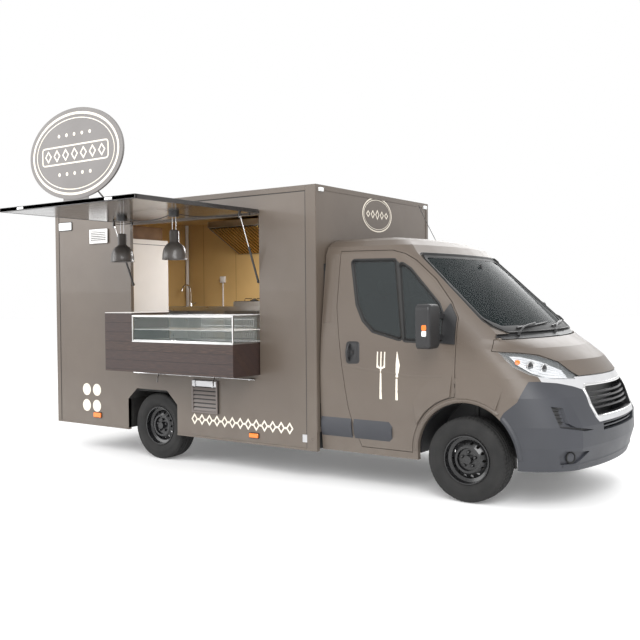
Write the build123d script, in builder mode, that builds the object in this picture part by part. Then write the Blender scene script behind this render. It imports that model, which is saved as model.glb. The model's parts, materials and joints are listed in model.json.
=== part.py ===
from build123d import *
import math
import os

os.makedirs("parts", exist_ok=True)

# Food truck: a two seat cab on a ladder frame with an insulated kitchen box.
# Millimetres. In the tables x runs forward from the front axle, y to the left from the middle
# of the truck and z up from the floor.

# Running gear
wheelbase = 3450
front_overhang = 948
tyre_r = 341
tyre_width = 215
shoulder_r = 325
wall_r = 262
rim_r = 196
rim_width = 178
rim_holes = 14
front_track = 1810
rear_track = 1790
kingpin_in = 135
disc_r = 108
disc_thick = 10
stub_r = 34
strut_tube_r = 20
arm_z = 205
arm_thick = 24
knuckle_half = 45
knuckle_wide = 20
knuckle_top = 520

# Cab
cab_rear = -1395
cab_wall = 45
cab_roof_wall = 40
panel_gap = 5
seal_gap = 0.3
arch_r = 432
arch_z = 370
arch_in = 560
liner_thick = 15
door_arch_r = 482
pane_depth = 14
pane_thick = 5
screen_round = 60
window_round = 25
bonnet_thick = 18
cowl_depth = 25
bonnet_rear_x = 204
bonnet_hinge_x = 225
bonnet_hinge_z = 1296
bonnet_ear_r = 20
bonnet_ear_in = 842
bonnet_ear_out = 888
hinge_plate = 16
door_hinge_x = -89.5
door_hinge_y = 1020
door_hinge_r = 6
door_hinge_plate = 20
door_hinge_relief = 30
door_hinges = [(872, 917), (950, 995)]
cab_room_half = 940
recess_depth = 25
bar_depth = 20
bar_thick = 16
flank_reach = 1180
flank_depth = 480
front_from = 500
front_to = 1000
screen_from = -760
screen_to = 700
form_below = 20
cab_floor_z = 610
cab_floor_thick = 20

# Seats and steering wheel
wheel_x = -430
wheel_y = 430
wheel_z = 1330
grip_r = 185
grip_thick = 14
boss_r = 55
spoke_wide = 34
spoke_thick = 16
spoke_drop = 12
column_r = 28
column_long = 300
wheel_lean = 52
seat_base_z = 900
cushion_top = 1040
back_top = 1640
headrest_top = 1830
seat_rows = [
    # middle, width
    (430, 500),
    (-380, 860),
]

# Chassis
rail_in = 400
rail_out = 470
rail_deep = 130
rail_rise_gap = 15
rail_rise = 115
rail_front = 690
rail_rear_gap = 90
rear_plate = 12
cross_half = 40
tow_wide = 120
tow_high = 70
tow_hole_r = 6.5
spring_in = 520
spring_out = 580
spring_half = 620
spring_drop = 110
leaf_thick = 36
hanger_half = 25
axle_tube_r = 55

# Kitchen box
box_front = -1412
box_rear = -4993
box_half = 1050
box_bottom = 280
box_top = 2650
box_wall = 40
floor_z = 750
floor_thick = 45
rear_wall_low = 500
serve_front = -2055
serve_rear = -3780
serve_bottom = 932
serve_top = 2418
arch_ahead = 320
arch_behind = 391
rear_arch_top = 720
door_low = 790
door_top = 2350
door_half = 380
door_y = 140
rear_hinge_x = 12
rear_hinge_y = 11
rear_hinge_in = 200
rear_hinge_half = 60
knuckle_long = 30

# Hatch, counter and its case
hatch_depth = 1518
hatch_thick = 32
hatch_side_gap = 9
hinge_out = 12
hinge_z = 2440
hinge_r = 7
pin_r = 4
lug_half = 20
lug_count = 4
lug_in = 42
counter_out = 365
counter_in = 900
counter_end_gap = 15
counter_top = 1510
ledge_z = 1232
counter_wall = 22
locker_long = 389
case_top = 1492
bar = 12
shelf_z = 1350
shelf_thick = 4
case_glass = 5

# Gas struts and lamps
strut_x_in = 25
strut_pin_in = 15
strut_pin_z = 1800
strut_pin_r = 5
strut_eye_out = 230
strut_eye_z = 2384
strut_body = 345
strut_r = 10
strut_eye_r = 13
rod_r = 4
rod_eye_r = 10
lamp_rear_in = 493
lamp_front_in = 543
lamp_out = 550
lamp_cap_r = 48
lamp_cap_deep = 40
shade_thick = 3
cable_r = 3.5
gland_long = 14

# Fittings in the kitchen
work_front = 400
work_top = 1550
work_wall = 20
work_skin = 40
bays = 3
fridge_long = 953
fridge_wide = 720
fridge_top = 2300
cooker_ahead = 80
cooker_long = 800
hood_behind = 270
hood_long = 1650
hood_top = 2570

# Vents on the serving side, lamps at the rear and the step
vent_depth = 22
vent_edge = 18
slat_thick = 5
rear_lamp_half = 60
rear_lamp_z = 640
rear_lamp_high = 220
rear_lamp_depth = 34
step_long = 300
step_half = 700
step_z = 400
step_thick = 50

# Sign
sign_ahead = 297
sign_z = 3262
sign_half_x = 780
sign_half_z = 500
sign_thick = 24
sign_in = 50
post_half = 210
post_thick = 10
foot_half = 260
foot_wide = 80
foot_thick = 8
brace_r = 9
brace_z = 3010
brace_back = 420
brace_half = 150

# Mirrors
mirror_out = 1290
mirror_in = 1092
mirror_x = -230
mirror_deep = 120
mirror_low = 1235
mirror_high = 1590
mirror_round = 50
arm_in = 930
arm_deep = 56
arm_high = 35

kingpin_y = front_track / 2 - kingpin_in
rear_axle = -wheelbase
rail_top = floor_z - floor_thick
rail_low_top = cab_floor_z - cab_floor_thick
rail_rear = box_rear + rail_rear_gap
rail_low_x = cab_rear - rail_rise_gap
rail_drop_x = rail_low_x - rail_rise
inner_half = box_half - box_wall
inner_front = box_front - box_wall
inner_rear = box_rear + box_wall
inner_top = box_top - box_wall
rear_arch_front = rear_axle + arch_ahead
rear_arch_rear = rear_axle - arch_behind
cross_xs = [box_rear + 293, rear_axle - 500, rear_axle + 550, box_front - 588]
hinge_y = box_half + hinge_out
hatch_reach = hinge_y + hatch_depth
under = hinge_z - hinge_r
lug_run = (serve_front - serve_rear - 2 * lug_in) / (lug_count - 1)
lug_xs = [serve_rear + lug_in + i * lug_run for i in range(lug_count)]
strut_xs = [serve_front - strut_x_in, serve_rear + strut_x_in]
strut_pin_y = box_half - strut_pin_in
strut_eye_y = box_half + strut_eye_out
lamp_xs = [serve_rear + lamp_rear_in, serve_front - lamp_front_in]
lamp_y = box_half + lamp_out
counter_front = serve_front - counter_end_gap
counter_rear = serve_rear + counter_end_gap
counter_y = box_half + counter_out
counter_low = serve_bottom + seal_gap
case_rear = counter_rear + locker_long
bay_long = (inner_front - inner_rear - (bays + 1) * work_wall) / bays
bay_xs = [inner_rear + work_wall + i * (bay_long + work_wall) for i in range(bays)]
fridge_front = inner_rear + fridge_long
sign_x = box_rear + sign_ahead
sign_y = sign_in - box_half
rear_reach = sign_half_x - sign_x
axle_x = (rear_reach - front_overhang) / 2
mid_y = (hatch_reach - mirror_out) / 2
right = -1
left = 1


def level(z):
    return Plane(origin=(axle_x, mid_y, z))


def station(x):
    return Plane(origin=(axle_x + x, mid_y, 0), x_dir=(0, 1, 0), z_dir=(1, 0, 0))


def side(y):
    return Plane(origin=(axle_x, mid_y + y, 0), x_dir=(1, 0, 0), z_dir=(0, -1, 0))


def block(xs, ys, zs, mode=Mode.ADD):
    """A rectangular piece between pairs of x, y and z."""
    with BuildSketch(level(min(zs))) as plan:
        with Locations(((xs[0] + xs[1]) / 2, (ys[0] + ys[1]) / 2)):
            Rectangle(abs(xs[1] - xs[0]), abs(ys[1] - ys[0]))
    extrude(plan.sketch, amount=abs(zs[1] - zs[0]), mode=mode)


def panel(plane, points, thick, mode=Mode.ADD):
    """A flat piece with straight edges, thick along the plane's normal."""
    with BuildSketch(plane) as face:
        with BuildLine():
            Polyline(*points, close=True)
        make_face()
    extrude(face.sketch, amount=thick, mode=mode)


def rod(plane, at, radius, length, mode=Mode.ADD):
    """A round bar along the plane's normal."""
    with BuildSketch(plane) as face:
        with Locations(at):
            Circle(radius)
    extrude(face.sketch, amount=length, mode=mode)


def save(piece, name):
    piece.part.label = name
    export_step(piece.part, f"parts/{name}.step")


# The cab's outline at each height
cab_levels = [
    # z, half width at the rear, x and half width where the side ends, x and half width of the corner, x of the nose
    (300, 985, 330, 1000, 800, 700, 900),
    (480, 1002, 330, 1015, 850, 720, 946),
    (640, 1010, 330, 1020, 845, 720, 948),
    (860, 1018, 280, 1020, 730, 740, 888),
    (1010, 1020, 230, 1008, 600, 760, 825),
    (1130, 1016, 130, 1000, 480, 770, 735),
    (1230, 1010, 40, 988, 360, 790, 590),
    (1310, 1004, -60, 975, 250, 880, 400),
    (2030, 912, -720, 884, -548, 788, -448),
    (2095, 878, -760, 852, -605, 750, -502),
    (2145, 800, -810, 775, -680, 680, -590),
    (2172, 690, -880, 665, -800, 570, -720),
]
roof_start = 2030


def cab_form(inset, drop, below):
    """The cab as one closed form, its walls moved in by inset and its roof lowered by drop."""
    outlines = []
    for z, rear_half, side_x, side_half, corner_x, corner_half, nose_x in cab_levels:
        height = z - drop * max(0, z - roof_start) / (cab_levels[-1][0] - roof_start)
        if z == cab_levels[0][0]:
            height = z - below
        back = cab_rear + inset
        wide = rear_half - inset
        edge = side_half - inset
        turn_x = corner_x - 0.7 * inset
        turn_y = corner_half - 0.7 * inset
        with BuildSketch(level(height)) as plan:
            with BuildLine():
                Line((back, -wide), (back, wide))
                flank = Line((back, wide), (side_x, edge))
                turn = TangentArc(flank @ 1, (turn_x, turn_y), tangent=flank % 1)
                ThreePointArc(turn @ 1, (nose_x - inset, 0), (turn_x, -turn_y))
                other = Line((back, -wide), (side_x, -edge))
                TangentArc(other @ 1, (turn_x, -turn_y), tangent=other % 1)
            make_face()
        outlines.append(plan.sketch)
    with BuildPart() as form:
        loft(outlines, ruled=True)
    return form.part


cab_outer = cab_form(0, 0, 0)
with BuildPart() as cab_skin:
    add(cab_outer)
    add(cab_form(cab_wall, cab_roof_wall, form_below), mode=Mode.SUBTRACT)

door_points = [
    (-1240, 2052), (-1245, 1560), (-1165, 1050), (-1105, 700), (-1058, 540), (-975, 362),
    (-300, 362), (-92, 700), (-92, 1475), (-165, 1600), (-330, 1792), (-520, 1955), (-615, 2012), (-730, 2045),
]
window_points = [(-1118, 1966), (-1040, 1585), (-968, 1450), (-868, 1360), (-585, 1290), (-695, 1960)]
quarter_points = [(-655, 1944), (-562, 1286), (-222, 1282), (-222, 1492), (-270, 1586), (-550, 1878)]
sail_points = [(-214, 1268), (-100, 1262), (-100, 1478), (-168, 1592), (-214, 1512)]


def cab_zone(points, sign, depth, grow=0, round_r=0, arch=0):
    """A block over one flank of the cab, cut to an outline, used to part the panels."""
    with BuildPart() as zone:
        with BuildSketch(side(sign * flank_reach)):
            with BuildLine():
                Polyline(*points, close=True)
            make_face()
            if arch:
                with Locations((0, arch_z)):
                    Circle(arch, mode=Mode.SUBTRACT)
            if round_r:
                fillet(vertices(), round_r)
            if grow:
                offset(amount=grow)
        extrude(amount=depth * sign)
    return zone.part


def arch_cut(radius, y_in, sign):
    with BuildPart() as cut:
        with BuildSketch(side(sign * flank_reach)):
            with Locations((0, arch_z)):
                Circle(radius)
            with Locations((0, arch_z - radius / 2 - 100)):
                Rectangle(2 * radius, radius + 200)
        extrude(amount=(flank_reach - y_in) * sign)
    return cut.part


# Front of the cab seen from the side: the bonnet, the lamps, the bumper and the grille
bonnet_line = [
    (bonnet_rear_x, 1300), (bonnet_rear_x, 1216), (250, 1212), (370, 1202), (482, 1180), (603, 1124), (690, 1047),
    (735, 1012), (1000, 1012), (1000, 1300),
]
lamp_line = [
    (250, 1206), (370, 1196), (480, 1174), (600, 1118), (685, 1042), (728, 990), (600, 1000), (478, 1040), (366, 1098),
]
bumper_line = [(300, 200), (300, 700), (330, 745), (430, 830), (492, 985), (800, 985), (1000, 985), (1000, 200)]


def across(points, grow=0, half=1200):
    """A block right across the truck, cut to a side outline."""
    with BuildPart() as zone:
        with BuildSketch(side(-half)):
            with BuildLine():
                Polyline(*points, close=True)
            make_face()
            if grow:
                offset(amount=grow)
        extrude(amount=-2 * half)
    return zone.part


def facing(points, x_from, x_to, grow=0, round_r=0):
    """A block along the truck, cut to an outline seen from the front."""
    with BuildPart() as zone:
        with BuildSketch(station(x_from)):
            with BuildLine():
                Polyline(*points, close=True)
            make_face()
            if round_r:
                fillet(vertices(), round_r)
            if grow:
                offset(amount=grow)
        extrude(amount=x_to - x_from)
    return zone.part


screen_points = [(-862, 1420), (-735, 1345), (735, 1345), (862, 1420), (776, 2014), (-776, 2014)]
cowl_points = [(-900, 1305), (900, 1305), (900, 1345), (-900, 1345)]
grille_half = [(850, 1022), (850, 982), (735, 968), (612, 938), (528, 908), (528, 785), (500, 690), (470, 655)]
opening_half = [(470, 930), (497, 905), (497, 795), (466, 706)]
slot_half = [(420, 650), (412, 585)]
vent_half = [(880, 800), (808, 785), (815, 672), (775, 642), (566, 604), (700, 606), (872, 640)]
fog_half = [(868, 425), (842, 462), (615, 443), (745, 358), (846, 355)]


def both_sides(half):
    """An outline of half the front, closed by the same points mirrored."""
    return [(-y, z) for y, z in half] + [(y, z) for y, z in reversed(half)]


grille_points = both_sides([(540, 1004), (700, 1010), *grille_half])
opening_points = both_sides(opening_half)
slot_points = both_sides(slot_half)
bar_gaps = [(700, 752), (766, 790), (804, 828), (842, 866), (880, 940)]
slot_gaps = [(580, 604), (614, 632), (642, 655)]
bonnet_zone = across(bonnet_line)
bonnet_space = across(bonnet_line, panel_gap)
lamp_zone = across(lamp_line)
lamp_space = across(lamp_line, seal_gap)
bumper_zone = across(bumper_line)
bumper_space = across(bumper_line, seal_gap)
grille_zone = facing(grille_points, front_from, front_to)
grille_space = facing(grille_points, front_from, front_to, seal_gap)

with BuildPart() as bonnet_pockets:
    for sign in (right, left):
        rod(side(sign * (bonnet_ear_in - panel_gap)), [(bonnet_hinge_x, bonnet_hinge_z)],
            bonnet_ear_r + panel_gap, -sign * (bonnet_ear_out - bonnet_ear_in + 2 * panel_gap))

with BuildPart() as cab_body:
    add(cab_skin.part)
    for sign in (right, left):
        add(cab_zone(door_points, sign, flank_depth, grow=panel_gap, arch=door_arch_r), mode=Mode.SUBTRACT)
        add(arch_cut(arch_r, arch_in, sign), mode=Mode.SUBTRACT)
    add(across([(-88, 100), (-88, 1258), (130, 1318), (1100, 1318), (1100, 100)]), mode=Mode.SUBTRACT)
    add(facing(screen_points, screen_from, screen_to, round_r=screen_round), mode=Mode.SUBTRACT)
    add(facing(cowl_points, bonnet_rear_x, 700), mode=Mode.SUBTRACT)
    block((cab_rear - 1, cab_rear + cab_wall + 1), (-cab_room_half, cab_room_half), (290, rail_low_top),
          mode=Mode.SUBTRACT)
    add(bonnet_pockets.part, mode=Mode.SUBTRACT)
save(cab_body, "cab_body")

with BuildPart() as wings:
    add(cab_skin.part)
    add(across([(-87.7, 300), (-87.7, 1257.7), (130, 1317.7), (1100, 1317.7), (1100, 300)]), mode=Mode.INTERSECT)
    for sign in (right, left):
        add(arch_cut(arch_r, arch_in, sign), mode=Mode.SUBTRACT)
        add(cab_zone(door_points, sign, flank_depth, grow=panel_gap, arch=door_arch_r), mode=Mode.SUBTRACT)
    add(bonnet_space, mode=Mode.SUBTRACT)
    add(lamp_space, mode=Mode.SUBTRACT)
    add(bumper_space, mode=Mode.SUBTRACT)
    add(grille_space, mode=Mode.SUBTRACT)
    add(facing(cowl_points, bonnet_rear_x, 700), mode=Mode.SUBTRACT)
    add(facing([(-640, 900), (640, 900), (640, 1400), (-640, 1400)], 150, 1100), mode=Mode.SUBTRACT)
    add(bonnet_pockets.part, mode=Mode.SUBTRACT)
    for sign in (right, left):
        for z0, z1 in door_hinges:
            rod(level(z0), [(door_hinge_x, sign * door_hinge_y)], door_hinge_r, z1 - z0)
            block((door_hinge_x, door_hinge_x + door_hinge_relief),
                  (sign * (door_hinge_y - door_hinge_plate), sign * (door_hinge_y + door_hinge_r / 2)), (z0, z1))
            block((door_hinge_x - door_hinge_r - 4, door_hinge_x + 2.5),
                  (sign * (door_hinge_y - door_hinge_relief), sign * (door_hinge_y - door_hinge_r)), (z0, z1),
                  mode=Mode.SUBTRACT)
save(wings, "wings")

with BuildPart() as bonnet:
    add(cab_outer)
    add(cab_form(bonnet_thick, 0, form_below), mode=Mode.SUBTRACT)
    add(bonnet_zone, mode=Mode.INTERSECT)
    for sign in (right, left):
        rod(side(sign * bonnet_ear_in), [(bonnet_hinge_x, bonnet_hinge_z)], bonnet_ear_r,
            -sign * (bonnet_ear_out - bonnet_ear_in))
        rod(side(sign * bonnet_ear_in), [(bonnet_hinge_x, bonnet_hinge_z)], pin_r + seal_gap,
            -sign * (bonnet_ear_out - bonnet_ear_in), mode=Mode.SUBTRACT)
save(bonnet, "bonnet")

with BuildPart() as headlamps:
    add(cab_skin.part)
    add(lamp_zone, mode=Mode.INTERSECT)
    add(facing([(-500, 900), (500, 900), (500, 1400), (-500, 1400)], 150, 1100), mode=Mode.SUBTRACT)
save(headlamps, "headlamps")



def bars_across(outline, gaps):
    """Thin bars that follow the cab's form across an opening, left between the gaps."""
    with BuildPart() as bars:
        add(cab_form(bar_depth, 0, 0))
        add(cab_form(bar_depth + bar_thick, 0, form_below), mode=Mode.SUBTRACT)
        add(facing(outline, front_from, front_to, grow=1), mode=Mode.INTERSECT)
        for z0, z1 in gaps:
            block((front_from, front_to), (-600, 600), (z0, z1), mode=Mode.SUBTRACT)
    return bars


def recess(outline):
    """A shallow pocket in the cab's skin, seen from the front."""
    with BuildPart() as pocket:
        add(cab_outer)
        add(cab_form(recess_depth, 0, form_below), mode=Mode.SUBTRACT)
        add(facing(outline, 450, 1000), mode=Mode.INTERSECT)
    return pocket.part


grille_bars = bars_across(opening_points, bar_gaps)
slot_bars = bars_across(slot_points, slot_gaps)

with BuildPart() as bumper:
    add(cab_skin.part)
    add(bumper_zone, mode=Mode.INTERSECT)
    for sign in (right, left):
        add(arch_cut(arch_r, arch_in, sign), mode=Mode.SUBTRACT)
    add(grille_space, mode=Mode.SUBTRACT)
    add(facing(slot_points, front_from, front_to), mode=Mode.SUBTRACT)
    add(slot_bars.part)
    for sign in (right, left):
        for outline in (vent_half, fog_half):
            add(recess([(sign * y, z) for y, z in outline]), mode=Mode.SUBTRACT)
save(bumper, "bumper")

with BuildPart() as grille:
    add(cab_skin.part)
    add(grille_zone, mode=Mode.INTERSECT)
    add(facing(opening_points, front_from, front_to), mode=Mode.SUBTRACT)
    add(lamp_space, mode=Mode.SUBTRACT)
    add(grille_bars.part)
save(grille, "grille")

pane_form = cab_form(pane_depth, pane_depth, 0)
with BuildPart() as pane_skin:
    add(pane_form)
    add(cab_form(pane_depth + pane_thick, pane_depth + pane_thick, form_below), mode=Mode.SUBTRACT)

with BuildPart() as windscreen:
    add(pane_skin.part)
    add(facing(screen_points, screen_from, screen_to, grow=-seal_gap, round_r=screen_round), mode=Mode.INTERSECT)
save(windscreen, "windscreen")

with BuildPart() as cowl:
    add(cab_form(cowl_depth, 0, 0))
    add(cab_form(cab_wall, 0, form_below), mode=Mode.SUBTRACT)
    add(facing(cowl_points, bonnet_rear_x + seal_gap, 700, grow=-seal_gap), mode=Mode.INTERSECT)
    add(bonnet_pockets.part, mode=Mode.SUBTRACT)
save(cowl, "cowl")

with BuildPart() as door_right:
    add(cab_skin.part)
    add(cab_zone(door_points, right, flank_depth, arch=door_arch_r), mode=Mode.INTERSECT)
    add(cab_zone(window_points, right, flank_depth, round_r=window_round), mode=Mode.SUBTRACT)
    add(cab_zone(quarter_points, right, flank_depth, round_r=window_round), mode=Mode.SUBTRACT)
    for z0, z1 in door_hinges:
        rod(level(z0 - 1), [(door_hinge_x, -door_hinge_y)], door_hinge_r + seal_gap, z1 - z0 + 2, mode=Mode.SUBTRACT)
save(door_right, "door_right")
with BuildPart() as door_left:
    mirror(door_right.part, about=side(0))
save(door_left, "door_left")

with BuildPart() as window_pane:
    add(pane_skin.part)
    add(cab_zone(window_points, right, flank_depth, grow=-seal_gap, round_r=window_round), mode=Mode.INTERSECT)
with BuildPart() as quarter_pane:
    add(pane_skin.part)
    add(cab_zone(quarter_points, right, flank_depth, grow=-seal_gap, round_r=window_round), mode=Mode.INTERSECT)
with BuildPart() as door_glass_right:
    add(window_pane.part)
    add(quarter_pane.part)
save(door_glass_right, "door_glass_right")
with BuildPart() as door_glass_left:
    mirror(door_glass_right.part, about=side(0))
save(door_glass_left, "door_glass_left")

# Chassis
rail_points = [
    (rail_rear, rail_top - rail_deep), (rail_rear, rail_top), (rail_drop_x, rail_top),
    (rail_low_x, rail_low_top), (rail_front, rail_low_top), (rail_front, rail_low_top - rail_deep),
    (rail_low_x - 60, rail_low_top - rail_deep), (rail_drop_x - 60, rail_top - rail_deep),
]

with BuildPart() as chassis_frame:
    for sign in (right, left):
        panel(side(sign * rail_in), rail_points, -sign * (rail_out - rail_in))
    for x in cross_xs:
        block((x - cross_half, x + cross_half), (-rail_in, rail_in), (rail_top - 90, rail_top - 10))
    for sign in (right, left):
        for x in (rear_axle - spring_half, rear_axle + spring_half):
            block((x - hanger_half, x + hanger_half), (sign * rail_out, sign * spring_out),
                  (rail_top - spring_drop, rail_top - 20))
    block((rail_rear - rear_plate, rail_rear), (-rail_out, rail_out), (rail_top - rail_deep, rail_top))
    with BuildSketch(station(rail_rear - rear_plate)) as tow_holes:
        with Locations((0, rail_top - rail_deep / 2)):
            with GridLocations(tow_wide, tow_high, 2, 2):
                Circle(tow_hole_r)
    extrude(tow_holes.sketch, amount=rear_plate, mode=Mode.SUBTRACT)
save(chassis_frame, "chassis_frame")

with BuildPart() as rear_axle_beam:
    rod(side(-rear_track / 2 + 60), [(rear_axle, tyre_r)], axle_tube_r, -(rear_track - 120))
    for sign in (right, left):
        rod(side(sign * (rear_track / 2 - 70)), [(rear_axle, tyre_r)], stub_r, -sign * (100 - seal_gap))
        with BuildSketch(side(sign * spring_in)) as leaf:
            with BuildLine():
                tip = rail_top - spring_drop - seal_gap
                eye_rear, eye_front = rear_axle - spring_half, rear_axle + spring_half
                seat = tyre_r + axle_tube_r
                low = ThreePointArc((eye_rear, tip - leaf_thick), (rear_axle, seat - 8), (eye_front, tip - leaf_thick))
                high = ThreePointArc((eye_rear, tip), (rear_axle, seat + 40), (eye_front, tip))
                Line(low @ 0, high @ 0)
                Line(low @ 1, high @ 1)
            make_face()
        extrude(leaf.sketch, amount=-sign * (spring_out - spring_in))
save(rear_axle_beam, "rear_axle_beam")

# Front suspension: a cross member, two lower arms and two struts
with BuildPart() as front_suspension:
    block((-120, 220), (-rail_out, rail_out), (300, 360))
    for sign in (right, left):
        block((-100, 200), (sign * rail_in, sign * rail_out), (360, rail_low_top - rail_deep))
        panel(level(arm_z), [(-90, sign * 440), (200, sign * 440), (25, sign * (kingpin_y + 12)),
                             (-25, sign * (kingpin_y + 12))], arm_thick)
        block((-90, 200), (sign * 430, sign * 470), (arm_z, 310))
        rod(level(knuckle_top), [(0, sign * kingpin_y)], strut_tube_r, arch_z + arch_r - knuckle_top - 0.8)
save(front_suspension, "front_suspension")

for sign, name in ((right, "right"), (left, "left")):
    with BuildPart() as knuckle:
        block((-knuckle_half, knuckle_half), (sign * (kingpin_y - knuckle_wide), sign * (kingpin_y + knuckle_wide)),
              (arm_z + arm_thick + seal_gap, knuckle_top - seal_gap))
        rod(side(sign * kingpin_y), [(0, tyre_r)], stub_r, -sign * (front_track / 2 + 30 - kingpin_y - seal_gap))
        rod(side(sign * (kingpin_y + knuckle_wide + 2)), [(0, tyre_r)], disc_r, -sign * disc_thick)
    save(knuckle, f"knuckle_{name}")

# Tyre and rim, seen as half a section: distance from the wheel's middle and radius
tyre_half = tyre_width / 2
rim_half = rim_width / 2


def tyre(x, y):
    with BuildPart() as ring:
        with BuildSketch(station(x)):
            with BuildLine():
                bead = tyre_r + rim_r + seal_gap
                shoulder = tyre_r + shoulder_r
                base = Line((y - rim_half + 8, bead), (y + rim_half - 8, bead))
                wall_l = ThreePointArc(base @ 1, (y + tyre_half, tyre_r + wall_r), (y + tyre_half - 12, shoulder))
                edge_l = Line(wall_l @ 1, (y + tyre_half - 40, 2 * tyre_r))
                top = Line(edge_l @ 1, (y - tyre_half + 40, 2 * tyre_r))
                edge_r = Line(top @ 1, (y - tyre_half + 12, shoulder))
                ThreePointArc(edge_r @ 1, (y - tyre_half, tyre_r + wall_r), base @ 0)
            make_face()
        revolve(axis=Axis((axle_x + x, mid_y, tyre_r), (0, 1, 0)), revolution_arc=360)
    return ring


def rim(x, y, sign):
    """A pressed steel wheel with round holes and its middle dished out towards the hub."""
    with BuildPart() as wheel:
        with BuildSketch(station(x)):
            with BuildLine():
                Polyline(
                    (y - sign * rim_half, tyre_r + rim_r), (y + sign * rim_half, tyre_r + rim_r),
                    (y + sign * rim_half, tyre_r + rim_r - 9), (y + sign * 40, tyre_r + rim_r - 14),
                    (y + sign * 30, tyre_r + rim_r - 40), (y + sign * 62, tyre_r + 110), (y + sign * 62, tyre_r + 92),
                    (y + sign * 40, tyre_r + 84), (y + sign * 40, tyre_r + 40), (y + sign * 76, tyre_r + 34),
                    (y + sign * 76, tyre_r), (y + sign * 30, tyre_r), (y + sign * 30, tyre_r + 82),
                    (y + sign * 50, tyre_r + 94), (y + sign * 50, tyre_r + 106), (y + sign * 18, tyre_r + rim_r - 40),
                    (y + sign * 26, tyre_r + rim_r - 12), (y - sign * rim_half, tyre_r + rim_r - 9),
                    close=True,
                )
            make_face()
        revolve(axis=Axis((axle_x + x, mid_y, tyre_r), (0, 1, 0)), revolution_arc=360)
        with BuildSketch(side(y + sign * 90)) as holes:
            with Locations((x, tyre_r)):
                with PolarLocations(134, rim_holes):
                    Circle(13)
        extrude(holes.sketch, amount=sign * 90, mode=Mode.SUBTRACT)
    return wheel


wheels = [
    # name, x, track, side
    ("front_right", 0, front_track, right),
    ("front_left", 0, front_track, left),
    ("rear_right", rear_axle, rear_track, right),
    ("rear_left", rear_axle, rear_track, left),
]
for name, x, track, sign in wheels:
    save(tyre(x, sign * track / 2), f"tyre_{name}")
    save(rim(x, sign * track / 2, sign), f"rim_{name}")

with BuildPart() as engine_block:
    block((130, 640), (-370, 370), (420, 940))
    block((330, 410), (-rail_in, rail_in), (490, 560))
save(engine_block, "engine_block")

with BuildPart() as radiator:
    block((rail_front, rail_front + 35), (-rail_out, rail_out), (420, 920))
save(radiator, "radiator")

liner_in = arch_in - liner_thick
with BuildPart() as cab_floor:
    block((cab_rear + cab_wall, -392), (-cab_room_half, cab_room_half), (rail_low_top, cab_floor_z))
    block((-392, 80), (-liner_in, liner_in), (rail_low_top, cab_floor_z))
    panel(station(60), [(-liner_in, rail_low_top), (liner_in, rail_low_top), (liner_in, 810), (925, 810), (915, 1200),
                        (870, 1285), (-870, 1285), (-915, 1200), (-925, 810), (-liner_in, 810)], cab_floor_thick)
    for sign in (right, left):
        block((70, bonnet_hinge_x + 8), (sign * (bonnet_ear_in - hinge_plate), sign * (bonnet_ear_in - 1)),
              (bonnet_hinge_z - 34, bonnet_hinge_z + 4))
        rod(side(sign * (bonnet_ear_in - 1)), [(bonnet_hinge_x, bonnet_hinge_z)], pin_r, -sign * 20)
        with BuildSketch(side(sign * liner_in)) as liner:
            with Locations((0, arch_z)):
                Circle(arch_r + liner_thick)
            with Locations((0, arch_z - 300)):
                Rectangle(2 * arch_r + 40, 600 - 40, mode=Mode.SUBTRACT)
        extrude(liner.sketch, amount=-sign * liner_thick)
        with BuildSketch(side(sign * liner_in)) as hoop:
            with Locations((0, arch_z)):
                Circle(arch_r + liner_thick)
                Circle(arch_r, mode=Mode.SUBTRACT)
            with Locations((0, arch_z - 300)):
                Rectangle(2 * arch_r + 40, 600 - 40, mode=Mode.SUBTRACT)
        extrude(hoop.sketch, amount=-sign * 395)
save(cab_floor, "cab_floor")

# Steering wheel, on a column that leans back from the dashboard
lean = math.radians(wheel_lean)
column = Vector(-math.cos(lean), 0, math.sin(lean))
steer_plane = Plane(origin=(axle_x + wheel_x, mid_y + wheel_y, wheel_z), x_dir=(0, 1, 0), z_dir=column)
dash_points = [(59.7, 1285), (-230, 1270), (-330, 1190), (-310, 1040), (-150, 900), (59.7, 880)]
with BuildPart() as dashboard:
    panel(side(-890), dash_points, -1780)
    with BuildSketch(steer_plane.offset(-spoke_drop - seal_gap)):
        Circle(column_r)
    extrude(amount=-column_long)
save(dashboard, "dashboard")

with BuildPart() as steering_wheel:
    with BuildSketch(Plane(origin=steer_plane.origin, x_dir=(0, 1, 0), z_dir=steer_plane.x_dir.cross(column))):
        with Locations((grip_r, 0)):
            Circle(grip_thick)
    revolve(axis=Axis(steer_plane.origin, column), revolution_arc=360)
    with BuildSketch(steer_plane.offset(-spoke_drop)) as spokes:
        Circle(boss_r)
        for angle in (90, 210, 330):
            with Locations(Rotation(0, 0, angle)):
                with Locations((grip_r / 2, 0)):
                    Rectangle(grip_r, spoke_wide)
    extrude(spokes.sketch, amount=spoke_thick)
save(steering_wheel, "steering_wheel")

# Seats: a base, a cushion and a back that leans, with a headrest over each place
with BuildPart() as seats:
    for y, wide in seat_rows:
        block((-1150, -700), (y - wide / 2 + 40, y + wide / 2 - 40), (cab_floor_z, seat_base_z))
        block((-1200, -660), (y - wide / 2, y + wide / 2), (seat_base_z, cushion_top))
        panel(side(y + wide / 2), [(-1200, cushion_top - 40), (-1060, cushion_top - 40), (-1150, back_top),
                                   (-1250, back_top)], wide)
        places = max(1, round(wide / 430))
        for i in range(places):
            middle = y + (i - (places - 1) / 2) * wide / places
            panel(side(middle + 130), [(-1240, back_top), (-1155, back_top), (-1185, headrest_top),
                                       (-1262, headrest_top)], 260)
save(seats, "seats")

# Kitchen box
arch_points = [
    (rear_arch_rear, box_bottom - 10), (rear_arch_rear, rear_arch_top - 118), (rear_arch_rear + 132, rear_arch_top),
    (rear_arch_front - 141, rear_arch_top), (rear_arch_front, rear_arch_top - 136),
    (rear_arch_front, box_bottom - 10),
]

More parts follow.
